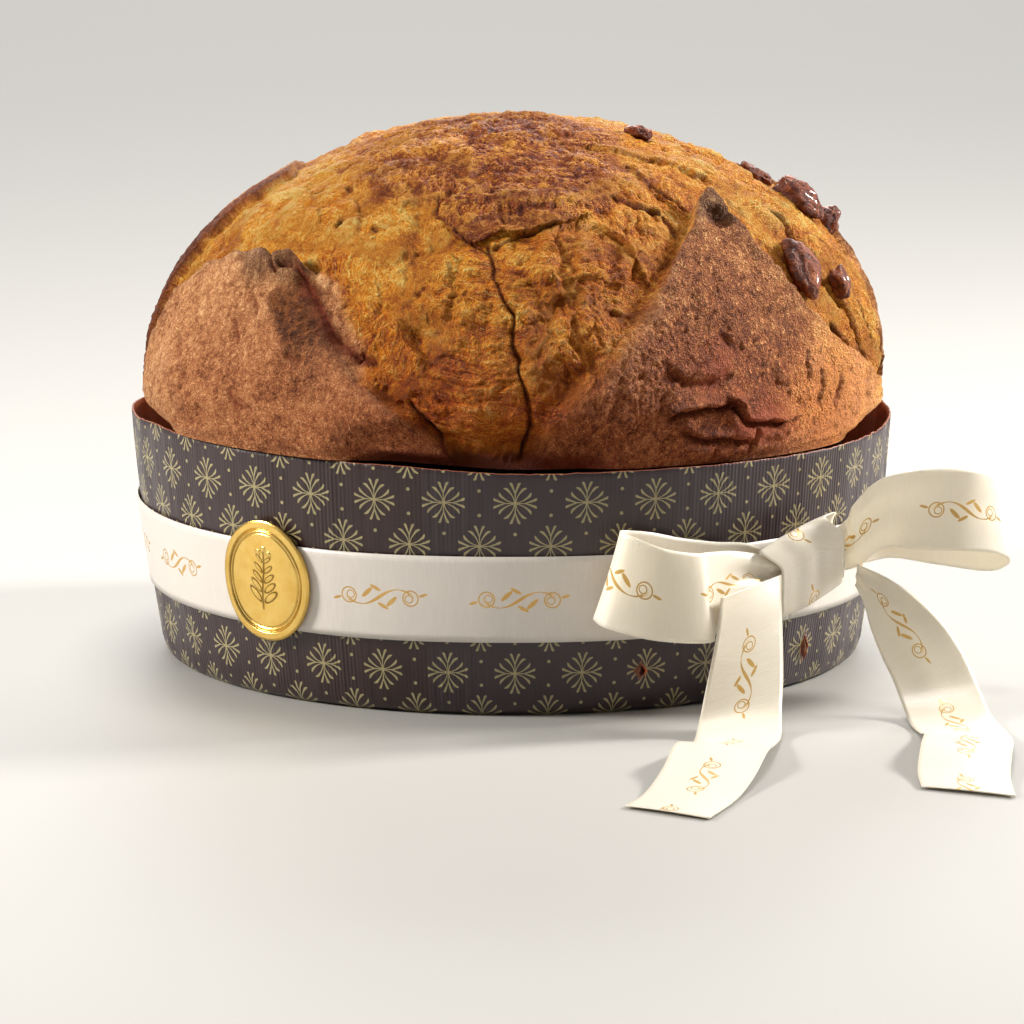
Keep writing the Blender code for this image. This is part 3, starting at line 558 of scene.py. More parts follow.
def loaf_surface(u, v):
    """The loaf's points in mm, the values that its material reads, and the places along its strands."""
    p0, n0 = dome(u, v)

    def lumps(size, seed):
        return value_noise(p0 / size, seed)

    def spot(cu, cv, ru, rv=None):
        return bell(np.hypot((u - cu) / ru, (v - cv) / (rv or ru)), 1)

    def area(u0, u1, soft_u, v0, v1, soft_v):
        return window(u, u0, u1, soft_u) * window(v, v0, v1, soft_v)

    wob = np.stack([fractal(p0 / 7, seed) for seed in (51, 55, 58)], -1)
    nip = np.stack([lumps(2.1, seed) for seed in (53, 57)], -1)
    uw, vw = (a + 0.7 * wob[:, k] + 0.24 * nip[:, k] for k, a in enumerate((u, v)))
    p, _ = dome(uw, vw)
    phi, az = np.hypot(u, v), np.arctan2(u, v)
    deg = np.degrees(az)

    big, mid = lumps(26, 11), lumps(11, 12)
    swell = 2.9 * spot(60, -4, 22, 30) - 1.8 * spot(-33, 2, 9, 14)
    crumb = swell + big + 0.8 * mid
    skin_h = swell + 0.4 * big + 0.3 * mid
    skin, tint, dark_skin_and_shade, top_h, flank_shade_tint, shade, coarse, gap_shade, crease = np.zeros((9, len(u)))
    edge_near = np.full(len(u), 99)
    shift = np.zeros_like(p0)
    for name, edge, over, rise, dip, curl, rough in FLAPS:
        d, q, along = nearest(p, edge)
        is_in = inside(uw, vw, flap_outline(edge))
        s = np.where(is_in, d, -d)
        soft, curl_k, reach = 0.5, 1, 0
        if name == "front_right":
            left = 1 - smooth(0.44, 0.50, along)
            soft = soft + left * (0.3 + 5.6 * smooth(47, 70, v))
            curl_k = 1 - left * smooth(32, 40, v)
        if name == "front_left":
            flank = smooth(43, 48, v) * (1 - smooth(0.36, 0.44, along))
            crest = flank * (1 - smooth(60, 76, v))
            soft = soft + 2.4 * flank * (1 - 0.6 * smooth(68, 80, v))
            curl_k = 1 - flank
            reach = 7 * flank * (1 - smooth(66, 78, v))
            # The flank is darkened: partly toasted skin, partly painted shade on its side turned away from
            # the light.
            flank_shade_tint = (flank * smooth(-3, 0, s) * (1 - smooth(10.4, 12.8, s))
                          * (1 - smooth(60, 72, v)))
        on = smooth(-soft, soft, s)
        lift = over + rise * falloff(s, 14)
        if name == "front_right":
            # Flatter at its left, with a raised dark tip.
            near = np.linalg.norm(p - dome_point(31.8, 30.2)[0], axis=1)
            west = (1 - smooth(34, 50, u)) * smooth(36, 54, v)
            lift = lift * (1 - 0.65 * west) + 4.4 * np.exp(-(near / 8) ** 1.4)
            # The tip is darkened: partly its own grey-brown skin, partly painted shade of the hollow under
            # its curl.
            dark_skin_and_shade = np.maximum(dark_skin_and_shade, on * np.exp(-(near / 9.5) ** 3))
        if name == "front_left":
            # A dark flank climbs to a crest, with two raised tips.
            climb = 5.2 * np.clip(s / 12, 0, 1) ** 1.15 - 1.4
            climb = np.where(s < 12, climb, 3.8 * falloff(s - 12, 13))
            lift = lift + crest * (climb - 1.8 * falloff(s, 14))
            lift = lift + flank_shade_tint * (0.6 * ridged(p0 / 2.6, 45) + 0.9 * (billow(p0 / 5, 46) - 0.6))
            for tip in ((-39.4, 43.2), (-44.6, 39.4)):
                near = np.linalg.norm(p - dome_point(*tip)[0], axis=1)
                lift = lift + 2.6 * bell(near, 5)
                dark_skin_and_shade = np.maximum(dark_skin_and_shade, 0.75 * on * bell(near, 9))
        if name == "back_left":
            # A dark strip that the photo shows on the skyline.
            strip = on * smooth(-9, -1, v + 4 * lumps(6, 185))
            # The strip is darkened as painted shade, partly browned skin.
            flank_shade_tint = np.maximum(flank_shade_tint, strip)
            shade = np.maximum(shade, strip)
            dark_skin_and_shade = np.maximum(dark_skin_and_shade, 0.35 * strip)
            lift = lift + strip * (0.5 * ridged(p0 / 2.2, 47) - 0.3)
        crumb = (crumb - dip * falloff(-s, 10) * (1 - on)) * (1 - on)
        out = unit(np.where(is_in[:, None], q - p, p - q))
        curled = curl * curl_k * on * falloff(s, 2.6) * window(along, 0.07, 0.93, 0.05)
        shift = shift + out * (curled / (1 + soft))[:, None]
        top_h = top_h * (1 - on) + on * (skin_h + lift)
        skin = np.maximum(skin, on)
        coarse = np.maximum(coarse, on * rough)
        tint = np.maximum(tint, smooth(-reach - 0.8 * soft, -reach + 0.8 * soft + 0.2, s))
        edge_near = np.minimum(edge_near, np.where(is_in, d, 99))
    h = crumb + top_h
    bare = 1 - skin

    # Dark skin on the very top, with a lip towards the front.
    d, q, _ = nearest(p, TOP_PATCH + TOP_PATCH[:1])
    s = np.where(inside(uw, vw, TOP_PATCH), d, -d)
    lip = smooth(34, 44, v)
    patch = smooth(-0.6 - 7 * (1 - lip), 0.6 + 5 * (1 - lip), s + 6 * wob[:, 2] * (1 - lip))
    ledge = smooth(-0.6 - 2.4 * (1 - lip), 0.6 + 2.4 * (1 - lip), s)
    on_patch = patch * bare
    h = h + bare * ledge * (0.7 + 1.1 * lip)
    shift = shift + unit(q - p) * (lip * ledge * falloff(s, 2.4))[:, None]

    # Crumpled crumb, in puffs with creases between them, and strands pulled across and down.
    drift = 1.5 * wob[:, 0] + 1.2 * lumps(13, 81)
    turn = az + 0.05 * wob[:, 1] + 0.06 * lumps(20, 83)
    ring = phi / 57.3
    mer = np.stack([62 * np.cos(turn) + drift, 62 * np.sin(turn), 20 * ring + drift], -1)
    zon = np.stack([16 * np.cos(turn), 16 * np.sin(turn) + drift, 66 * ring + 1.6 * drift], -1)
    central = spot(-8, 80, 13, 14)
    way = smooth(-0.2, 0.35, lumps(17, 84) + 1.2 * central - 0.8 * spot(-29, 68, 9)
                 + 0.3 * spot(-5, 26, 20))
    silky = np.clip(central + 0.6 * spot(-29, 68, 8) + 0.4 * lumps(16, 86), 0, 1)
    rumple = p0 + 2.6 * wob
    puff = sum(height * (billow(rumple / size, seed) - 0.6)
               for height, size, seed in ((1.5, 11, 61), (0.85, 5.2, 63), (0.5, 2.4, 65)))
    strand = (1 - way) * ridged(mer, 91) + way * ridged(zon, 95)
    cord = (1 - way) * ridged(mer / 2.6, 101) + way * ridged(zon / 2.6, 105)
    cotton = fractal((p0 + 0.8 * wob) / 2, 107, 2, 0.7)
    grit = lumps(0.9, 111)
    fluff = ((1 - 0.45 * silky) * (0.30 * cotton + 0.10 * grit) + silky * (0.32 * strand + 0.40 * cord)
             + (1 - silky) * (0.32 * strand + 0.34 * cord))
    h = h + bare * (puff * (1 - 0.4 * central) + fluff)

    for depth, half, course in FISSURES:
        d, _, along = nearest(p, course)
        to_foot = abs(course[-1][1]) >= 95
        ends = 1 if to_foot else smooth(0, 0.10, along) * (1 - smooth(0.93, 1, along))
        wide = half * (1 + 0.45 * lumps(4, 77) + 0.25 * nip[:, 0])
        cut = depth * ends * (1 + 0.45 * lumps(6, 79))
        if course is FISSURES[0][2]:
            cut = cut * (0.45 + 0.55 * smooth(0.15, 0.45, along))
        h = h - cut * np.exp(-np.abs(d / wide) ** 1.6) - 0.10 * cut * bell(d, 3 * half)
        h = h + 0.16 * cut * bell(d - 5, 3)
        gap_shade = np.maximum(gap_shade, bell(d, 1.15 * wide) * ends)
    for height, far, near, course in FOLDS:
        d, _, along = nearest(p, course)
        ends = window(along, 0.1, 0.9, 0.1)
        up = smooth(-0.35 * near, 0.35 * near, d * fold_side(uw, vw, course))
        h = h + bare * ends * height * (up * np.exp(-d / far) - 0.7 * (1 - up) * np.exp(-d / near))
        gap_shade = np.maximum(gap_shade, 0.2 * bare * ends * (1 - up) * bell(d, 0.8))
    for depth, half, lip_h, course in DENTS:
        d, _, along = nearest(p, course)
        below = fold_side(uw, vw, course) < 0
        wide = half * (1 + 0.35 * lumps(3, 78))
        ends = window(along, 0.075, 0.925, 0.075) if len(course) > 2 else 1
        h = h - ends * depth * bell(d, wide) + ends * lip_h * bell(d - 1.9 * half, 1.3 * half) * below
        h = h + ends * 0.35 * depth * bell(d - 3.4 * half, 2.6 * half)
        crease = np.maximum(crease, ends * bell(d, 0.9 * half) * min(1, 0.9 / half))
    # Painted shade: fissures, the low side of folds, creases and the front foot, where the loaf draws back
    # from the paper, are darkened.
    gap_shade = np.maximum(gap_shade, 0.75 * crease)
    gap_shade = np.maximum(gap_shade, window(deg, -22, 14, 5) * smooth(96, 98.4, phi + 0.8 * wob[:, 1]))

    # Skin: fine grain, and pits that run down and to the right.
    slant = np.stack([(u + 0.45 * v), (v - 0.45 * u) * 0.38, 0 * u], -1) * 1.7 + 0.5 * wob
    pits = np.clip(value_noise(slant / 1.3, 133) - 0.35 + 0.1 * coarse, 0, 1) * (0.5 + 0.2 * coarse)
    dents = np.clip(value_noise(slant / 2.6, 137) - 0.1, 0, 1)
    grain = fractal(p0 / 1.2, 121, 2, 0.8)
    beads = billow(p0 / 1.5 + 0.3 * wob, 143)
    pores = 0.15 * grain - 0.55 * pits + (0.14 + 0.16 * coarse) * lumps(4.6, 131) + 0.12 * grit
    pores = pores + coarse * (0.34 * (beads - 0.6) - 0.9 * dents)
    pores = pores * (1 - 0.6 * area(40, 66, 5, 66, 84, 5))
    crackle = 0.30 * ridged(p0 / 2.3 + 0.4 * wob, 141) + 0.16 * grit + 0.3 * cotton
    h = h + skin * pores + on_patch * ledge * crackle * 0.6

    fade = 1 - smooth(97, DOME_END, phi)
    points = p0 + n0 * (h * fade)[:, None] + shift * fade[:, None]
    # Inside the paper the loaf keeps clear of it, except where the left flap hangs over the rim.
    limit = PAPER_INSIDE + 1.6 * np.maximum(points[:, 2] - rim_height(deg) - 0.4, 0)
    radius = np.hypot(points[:, 0], points[:, 1])
    hang = window(deg, -61, -19, 3)
    squeeze = hang + (1 - hang) * np.where(radius > limit, limit / np.maximum(radius, 1), 1)
    # At the front the foot draws back from the paper.
    back = 0.040 * window(deg, -24, 13, 4) * smooth(88.5, 96.5, phi)
    points[:, :2] *= (squeeze * (1 - back))[:, None]
    # Where the front right flap's skin is bare and pinkish; round it, it is golden.
    d, _, _ = nearest(p, ROSY + ROSY[:1])
    rosy = smooth(-4, 4, np.where(inside(uw, vw, ROSY), d, -d) + 3 * value_noise(p / 6, 181))
    values = {
        # Golden skin with painted light.
        "gold_and_painted_light": skin * area(62, 96, 7, 14, 66, 8),
        "skin": tint,
        "patch": on_patch,
        "gap_shade": gap_shade,
        # Lighter on the relief, darker in its hollows and pits: partly painted shade.
        "fine": 0.5 + bare * (0.55 * (fluff + 0.35 * puff)) + skin * (0.22 * grain - 0.25 * pits),
        "edge": np.exp(-edge_near / 3.5) * 0.6 + dark_skin_and_shade,
        # The left flap's flank: partly toasted, partly painted shade.
        "flank": flank_shade_tint,
        "rosy": coarse * rosy,
        "wine": skin * area(40, 64, 6, 64, 82, 6) * smooth(-0.35, 0.25, lumps(8, 183)),
        # Paler crumb with painted light.
        "bright": (spot(-34, 20, 18.2, 21) + 0.5 * spot(-17, 56, 9) + 0.3 * spot(46, 22, 15)
                   + spot(19, 43, 9)),
        "plum": (0.75 * area(3, 60, 6, 34, 70, 8) + on_patch
                 + 0.35 * window(v, -120, -10, 12)),
    }
    values = {key: np.clip(value, 0, 1) for key, value in values.items()}
    # Painted shade, partly real browning: darker low on the dome and at the front, on the back left flap's
    # dark strip and on the front right flap's left part. Goes above 1, where the loaf is darkest.
    values["low"] = (smooth(55, 92, phi) * window(deg, -60, 60, 25)
                     + 0.7 * smooth(66, 92, phi) * window(deg, -26, 64, 12) + 1.3 * shade
                     + 0.5 * skin * area(24, 48, 8, 42, 74, 8))
    return points, values, (1 - way)[:, None] * mer + way[:, None] * zon


def disc(x, y):
    """Square to disc: places on the chart for grid places from -1 to 1."""
    big = np.abs(x) > np.abs(y)
    r = np.where(big, x, y)
    safe = np.where(r == 0, 1, r)
    t = np.where(big, math.pi / 4 * y / safe, math.pi / 2 - math.pi / 4 * x / safe)
    return DOME_END * r * np.cos(t), DOME_END * r * np.sin(t)


def make_loaf(crust):
    """Four quadrants of the dome, the front ones in two pieces, with a skirt that runs down into the case."""
    cells = CELLS
    for name, sx, sy in (("loaf_front_right", 1, 1), ("loaf_front_left", -1, 1),
                         ("loaf_back_right", 1, -1), ("loaf_back_left", -1, -1)):
        rows, parts = (cells, 2) if sy > 0 else (round(cells * BACK_ROWS), 1)
        # One cell more on each side, for the normals at the seams.
        x, y = np.meshgrid(np.arange(-1, cells + 2) / cells, np.arange(-1, rows + 2) / rows, indexing="ij")
        u, v = disc(sx * x, sy * y)
        pts, values, flow = loaf_surface(u.ravel(), v.ravel())

        def trimmed(a):
            return a.reshape(*x.shape, *a.shape[1:])[1:-1, 1:-1]

        g = pts.reshape(*x.shape, 3)
        nrm = unit(np.cross(np.gradient(g, axis=0), np.gradient(g, axis=1)))[1:-1, 1:-1]
        nrm = nrm * np.sign(nrm[5, 5, 2])
        g, flow = trimmed(pts), trimmed(flow)
        values = {key: trimmed(a) for key, a in values.items()}
        cuts = [round(cells * k / parts) for k in range(parts + 1)]
        for k in range(parts):
            piece = slice(cuts[k], cuts[k + 1] + 1)
            verts = g[piece].reshape(-1, 3)
            count = g[piece].shape[:2]
            at = np.arange(len(verts)).reshape(count)
            rim = at[:, -1][::-1]
            if k == parts - 1:
                rim = np.concatenate([at[-1, :-1], rim])
            edge = verts[rim]
            az = np.arctan2(edge[:, 0], -edge[:, 1])
            r0, z0 = np.hypot(edge[:, 0], edge[:, 1]), edge[:, 2]
            # Rings of the skirt: radius and height; where the loaf hangs over the rim, they first go level.
            over = smooth(111.4, 112.2, r0)
            levels = ((r0 - 0.4 - 0.8 * over, z0 - 0.9 + 0.4 * over),
                      (r0 - 0.9 - (r0 - 111.1) * over, z0 - 2.4 + 2.2 * over),
                      (np.minimum(r0 - 1.6, 109.5), 66), (np.minimum(r0 - 2, 109), 58), (92, 56))
            low = np.vstack([polar(r, az, z) for r, z in levels])
            rings = np.vstack([rim, len(verts) + np.arange(len(low)).reshape(len(levels), -1)])
            skirt = np.stack([rings[:-1, :-1], rings[1:, :-1], rings[1:, 1:], rings[:-1, 1:]], -1)
            quads = np.vstack([grid_quads(*count), skirt.reshape(-1, 4)])
            if sx * sy < 0:
                quads = quads[:, ::-1]
            # The skirt down into the case is darkened as painted shade.
            flat = {key: np.concatenate([a[piece].ravel(), np.full(len(low), 0.9 if key == "gap_shade" else 0.3)])
                    for key, a in values.items()}
            lines = np.vstack([flow[piece].reshape(-1, 3), low / 1.4])
            out = np.tile(unit(polar(1, az, -0.3)), (len(levels), 1))
            normals = np.vstack([nrm[piece].reshape(-1, 3), out])
            label = name if parts == 1 else "%s_%d" % (name, k + 1)
            obj = quad_object(label, np.vstack([verts, low]), quads, crust, flat, {"flow": lines}, normals)
            place(obj, "crust", "loaf")


def make_crust():
    n = Net("crust")
    skin, patch, gap_shade, flank, fine, edge, bright, plum, low, rosy, wine, gold_and_painted_light = map(n.value, (
        "skin", "patch", "gap_shade", "flank", "fine", "edge", "bright", "plum", "low", "rosy", "wine", "gold_and_painted_light"))
    where, flow = n.place(), n.vector("flow")
    blot = n.noise(where, 0.05, 3, 0.55, 0.6)
    browned = n.noise(where, 0.085, 2, 0.55, 1.2)
    mott = n.noise(where, 0.22, 3, 0.60, 0.8)
    speck = n.noise(where, 1.9, 3, 0.75)
    dust = n.noise(where, 2.6, 2, 0.6)
    fibre = n.step(0.56, 0.68, n.noise(flow, 3.4, 2, 0.6, 1.2))
    thread = n.noise(flow, 2.3, 3, 0.70, 0.5)
    crumple = abs(n.noise(where, 0.34, 3, 0.6, 1.2) - 0.5)
    wrinkle = abs(n.noise(where, 0.95, 2, 0.6, 0.9) - 0.5)
    slant = n.node("Mapping", where, None, (0.3, 0.6, 0.5), (1, 0.45, 1))
    beads = abs(n.noise(slant, 0.85, 2, 0.6, 0.6) - 0.5)

    def about(source, weight):
        return (source - 0.5) * weight

    # Exposed crumb: pale gold on the strands, toasted brown between them, and lighter on the relief than in
    # its hollows and creases, partly painted shade.
    tone = 0.59 + (about(fine, 0.6) + about(thread, 1.2) + about(mott, 0.15) + about(speck, 0.45))
    tone = tone + (crumple - 0.09) + (wrinkle - 0.09) + about(browned, 0.8)
    # Lighter on the upper left and by the front right tip: paler crumb with painted light. Darker low down:
    # painted shade, partly browning.
    tone = tone + bright * 0.16 - (plum * 0.04 + low * 0.03)
    gold = n.ramp(tone, (0.08, 106, 36, 0), (0.30, 180, 84, 4), (0.52, 226, 130, 15), (0.72, 248, 167, 42),
                  (0.94, 255, 216, 120))
    brown = n.ramp(tone, (0.08, 94, 29, 1), (0.30, 160, 68, 4), (0.54, 208, 109, 15), (0.86, 246, 164, 56))
    # Paler streaks along the strands, partly their own colour and partly painted highlights.
    gold = n.mix(fibre * 0.6, gold, rgb(255, 208, 120))
    crumb = n.mix(n.step(0.15, 0.75, plum + about(mott, 0.8)) * 0.7, gold, brown)
    # Skin of the flaps: matt brown with dark pits, darker and greyer at the free edges; lighter on its beads
    # than in its pits, partly painted shade.
    grain = 0.5 + (about(fine, 0.7) + about(speck, 0.45) + about(dust, 0.6) + about(mott, 0.35))
    grain = grain + (beads - 0.09) * 0.9 + about(blot, 0.4) - low * 0.02
    # Lighter and golden at the front right flap's right: golden skin with painted light.
    grain = 0.5 + (grain - 0.5) * (1.15 + rosy * 0.10 - wine * 0.7) + gold_and_painted_light * 0.52
    tan = n.ramp(grain, (0.16, 84, 42, 20), (0.36, 156, 96, 54), (0.54, 198, 140, 90), (0.78, 236, 190, 136))
    pink = n.ramp(grain, (0.14, 102, 49, 22), (0.36, 152, 88, 46), (0.54, 193, 125, 70),
                  (0.80, 247, 194, 128))
    dark = n.ramp(grain, (0.26, 50, 27, 14), (0.52, 98, 62, 36), (0.76, 152, 112, 74))
    flank_shade_ramp = n.ramp(grain, (0.28, 60, 23, 2), (0.72, 150, 80, 14))
    # Over the skin: pinkish bare skin, darker free edges with the front right tip partly in painted shade,
    # random toasted blots, wine patches, golden skin with painted light, and the left flap's flank, partly
    # toasted and partly painted shade.
    for amount, other in ((rosy, pink), (n.step(0.15, 0.85, edge) * 0.75, dark),
                          (n.step(0.55, 0.75, blot) * 0.25, rgb(140, 72, 36)),
                          (wine * 0.65, rgb(150, 78, 54)), (gold_and_painted_light * 0.55, gold), (flank * 0.9, flank_shade_ramp)):
        tan = n.mix(amount, tan, other)
    # Darker skin on the very top, with gold showing through its tears.
    top = n.ramp(tone + about(mott, 0.5), (0.20, 84, 26, 8), (0.40, 134, 56, 16), (0.56, 172, 86, 26),
                 (0.74, 236, 160, 58))
    colour = n.mix(patch * n.step(0.24, 0.50, mott), crumb, top)
    colour = n.mix(skin, colour, tan)
    # Painted shade, partly real browning: darker low on the loaf, on the dark strip and on the front right
    # flap's left part.
    colour = n.mix(low * 0.38, colour, n.mix(1, colour, (0.70, 0.28, 0.10), "MULTIPLY"))
    # Painted shade: dark red-brown in fissures, creases, under folds, at the front foot and on the skirt.
    colour = n.mix(gap_shade * 0.88, colour, rgb(112, 38, 10))
    crisp = thread * 1.2 + (crumple * 3.6 + wrinkle * 3.2)
    relief = crisp * (1.5 - skin * 1.35) + speck * 0.8 + fibre * ((1 - skin) * 0.3)
    relief = (relief + beads * skin * (1.5 + rosy * 2.9)) * (1 - wine * 0.6)
    return n.finish(Base_Color=colour, Roughness=skin * 0.10 + (0.44 + thread * 0.22),
                    Normal=n.bump(relief, 0.0011, 1), Subsurface_Weight=0.02,
                    Subsurface_Radius=(0.002, 0.001, 0.0005), Subsurface_Scale=1, Specular_IOR_Level=0.22)


# Printed motifs on the case: how many round it, their pitch round and up in mm, and where they start.
MOTIFS_ROUND, MOTIF_ARC, MOTIF_ROW = 35, 19.6, 12.4
MOTIF_AZ, MOTIF_Z = 0.45, 62.4
ARC_PER_DEGREE = MOTIFS_ROUND * MOTIF_ARC / 360
# Torn skewer holes: azimuth, half width and half height in mm.
HOLES = ((20.1, 1.9, 2.4), (52.7, 1.5, 4.2))
FLUTES = 560
# Sides of the paper, as the material reads them, and a place round the case clear of its holes.
OUTSIDE, INSIDE, TORN_EDGE = 0, 1, 2
CLEAR_OF_HOLES = 8


def make_case_paper():
    n = Net("case_paper")
    s, z, side = n.split(n.vector("arc"))

    def motif(offset_s, offset_z):
        p = abs(n.repeat(s - offset_s, MOTIF_ARC))
        q = abs(n.repeat(z - offset_z, 2 * MOTIF_ROW))
        a, b = n.math("MAXIMUM", p, q), n.math("MINIMUM", p, q)

        def stroke(course, half, end, soft):
            return n.length(abs(b - course) / half, n.math("MAXIMUM", a - end, 0) / soft)

        # Paired inner strokes that part half way along each arm, and outer ones that curl to the corners.
        fan = n.math("MAXIMUM", (a - 2.7) / 3, 0) ** 1.1 * 1.12
        slope = n.math("SQRT", 1 + (a * 0.26) ** 2)
        return n.least(stroke(fan, 0.13 + 0.33 * (a / 5.8) ** 3, 5.45, 0.5),
                       stroke(0.2 + 0.13 * (a * a), (0.12 + 0.30 * (a / 4.2) ** 3) * slope, 4.05, 0.42),
                       n.length(p, q - 8.9) / 0.5)

    s0 = MOTIF_AZ * ARC_PER_DEGREE
    shape = n.least(motif(s0, MOTIF_Z), motif(s0 + MOTIF_ARC / 2, MOTIF_Z + MOTIF_ROW))
    ink = 1 - n.step(0.8, 1.15, shape)
    outside = 1 - n.step(0.2, 0.8, side)
    where = n.place()
    cloud = n.noise(where, 0.05, 3, 0.55)
    grain = n.noise(where, 2.5, 3, 0.6)
    plum = n.mix(cloud, rgb(42, 28, 31), rgb(58, 44, 50))
    # Butter has darkened the paper left of the seam.
    buttery = (1 - n.step(-25, -23, s + (cloud - 0.5) * 3)) * n.step(-150, -60, s)
    plum = n.mix(buttery * 0.85, plum, n.mix(cloud, rgb(34, 15, 12), rgb(52, 30, 27)))
    face = n.mix(ink, plum, n.mix(grain, rgb(120, 110, 72), rgb(184, 172, 128)))
    kraft = n.mix(n.noise(where, 0.3, 4, 0.6), rgb(186, 78, 36), rgb(224, 118, 60))
    colour = n.mix(outside, kraft, face)
    colour = n.mix(n.step(1.2, 1.8, side), colour, rgb(132, 78, 52))
    ragged = (n.noise(where, 0.8, 3, 0.6) - 0.5) * 1.1
    torn = n.least(*(abs((s - at * ARC_PER_DEGREE) / wide) + abs((z - SKEWER_Z) / tall) + ragged
                     for at, wide, tall in HOLES))
    # The holes are painted, not cut: dark red-brown for the crust inside, partly its own colour and partly
    # painted shade.
    hole = (1 - n.step(0.82, 0.98, torn)) * outside
    colour = n.mix((1 - n.step(1.05, 1.35, torn)) * outside * 0.8, colour, rgb(150, 104, 84))
    colour = n.mix(hole, colour, n.mix(grain, rgb(34, 8, 6), rgb(96, 30, 16)))
    rough = 0.30 + (grain * 0.12 + (1 - outside) * 0.35) - hole * 0.15
    return n.finish(Base_Color=colour, Roughness=rough, Normal=n.bump(grain * 0.1 - hole * 1.2, 0.0012, 0.5),
                    Specular_IOR_Level=0.5, Coat_Weight=0.12, Coat_Roughness=0.28)


def make_case(paper):
    cols = FLUTES * 4 + 1
    turn = np.linspace(-math.pi, math.pi, cols)
    deg = np.degrees(turn)
    rows, sides = [], []

    def height(z):
        return 60 + (z - 60) * (rim - 60) / (RIM_Z - 60) if z > 60 else z

    def ring(r, z, side):
        rows.append(polar(r, turn, z))
        sides.append(side)

    here = circle(turn, 3.2)
    crumple = value_noise(here * 2.3, 201)
    flute = 0.10 * np.sin(turn * FLUTES) * (0.6 + 0.6 * value_noise(here * 4.1, 202))
    flute = flute + 0.10 * value_noise(here * 22, 204)
    rag = 0.10 + 0.16 * window(deg, 58, 110, 10)
    rim = rim_height(deg) + rag * value_noise(here * 40, 205) + 1.2 * rag * value_noise(here * 12, 206)
    ring(0.5, 0.02, OUTSIDE)
    ring(92, 0.02, OUTSIDE)
    for z in (0, 0.5, 1.5, 3, 4.5, 8, 13, 21, 30, 40, 49, 56, 63, 67, 69, 70.5):
        lo = smooth(0, 5, z)
        wave = 0.28 * value_noise(circle(turn, 5, z / 16), 203) * (0.3 + z / 70)
        buckle = 0.5 * bell(deg + 62, 16) * np.sin(z / 5 + deg / 4) * bell(z - 14, 12)
        ring(case_radius(z) - 0.25 + (flute + wave + 0.15 * crumple) * lo + buckle, height(z), OUTSIDE)
    radius, top = np.hypot(rows[-1][:, 0], rows[-1][:, 1]), rows[-1][:, 2]
    ring(radius - 0.12, top + 0.12, TORN_EDGE)
    ring(radius - 0.42, top + 0.12, TORN_EDGE)
    ring(radius - 0.55, top, INSIDE)
    for z in (69, 66, 60, 50, 30, 8, 2.5):
        ring(case_radius(z) - 0.85 + flute * smooth(0, 5, z), height(z), INSIDE)
    ring(98, 0.75, INSIDE)
    ring(0.5, 0.75, INSIDE)
    g = np.array(rows)
    arc = np.stack(np.broadcast_arrays(deg * ARC_PER_DEGREE, g[:, :, 2], np.array(sides)[:, None]), -1)
    wall = quad_object("case_wall", g, grid_quads(len(rows), cols)[:, ::-1], paper, vectors={"arc": arc})
    place(wall, "case_paper", "paper_case")
    # Small lips of torn paper that stand out round the holes.
    for k, (at, wide, tall) in enumerate(HOLES):
        for side, size in ((-1, 1), (1, 0.7)):
            t = np.linspace(-0.9, 0.9, 15)[:, None]
            w = np.linspace(0, 1, 6)[None, :]
            reach = wide * size * (1 - np.abs(t) ** 1.6) * (0.8 + 0.2 * np.sin(t * 9 + k))
            ang = math.radians(at) + side * (wide * (1 - np.abs(t)) * (1.05 - 0.5 * w)) / 104.8
            r = case_radius(SKEWER_Z) + 0.12 + reach * 0.75 * np.sin(w * 1.5)
            front, back = (polar(r - inset, ang, SKEWER_Z + tall * t) for inset in (0, 0.25))
            both = np.concatenate([front, back[:, ::-1]], 1)
            quads = grid_quads(*both.shape[:2], closed=True)[:, ::side]
            look = INSIDE if side > 0 else TORN_EDGE
            lay = np.stack(np.broadcast_arrays(CLEAR_OF_HOLES, both[:, :, 2], look), -1)
            name = "case_tear_%d" % (2 * k + (side > 0) + 1)
            place(quad_object(name, both, quads, paper, vectors={"arc": lay}), "case_paper", "paper_case")


# Gold scroll printed on the ribbon: its pitch, and the height and half length of its stem's wave, in mm.
SCROLL_PITCH, SCROLL_WAVE, SCROLL_HALF = 40, 2.3, 11
RIB_PITCH = 0.62


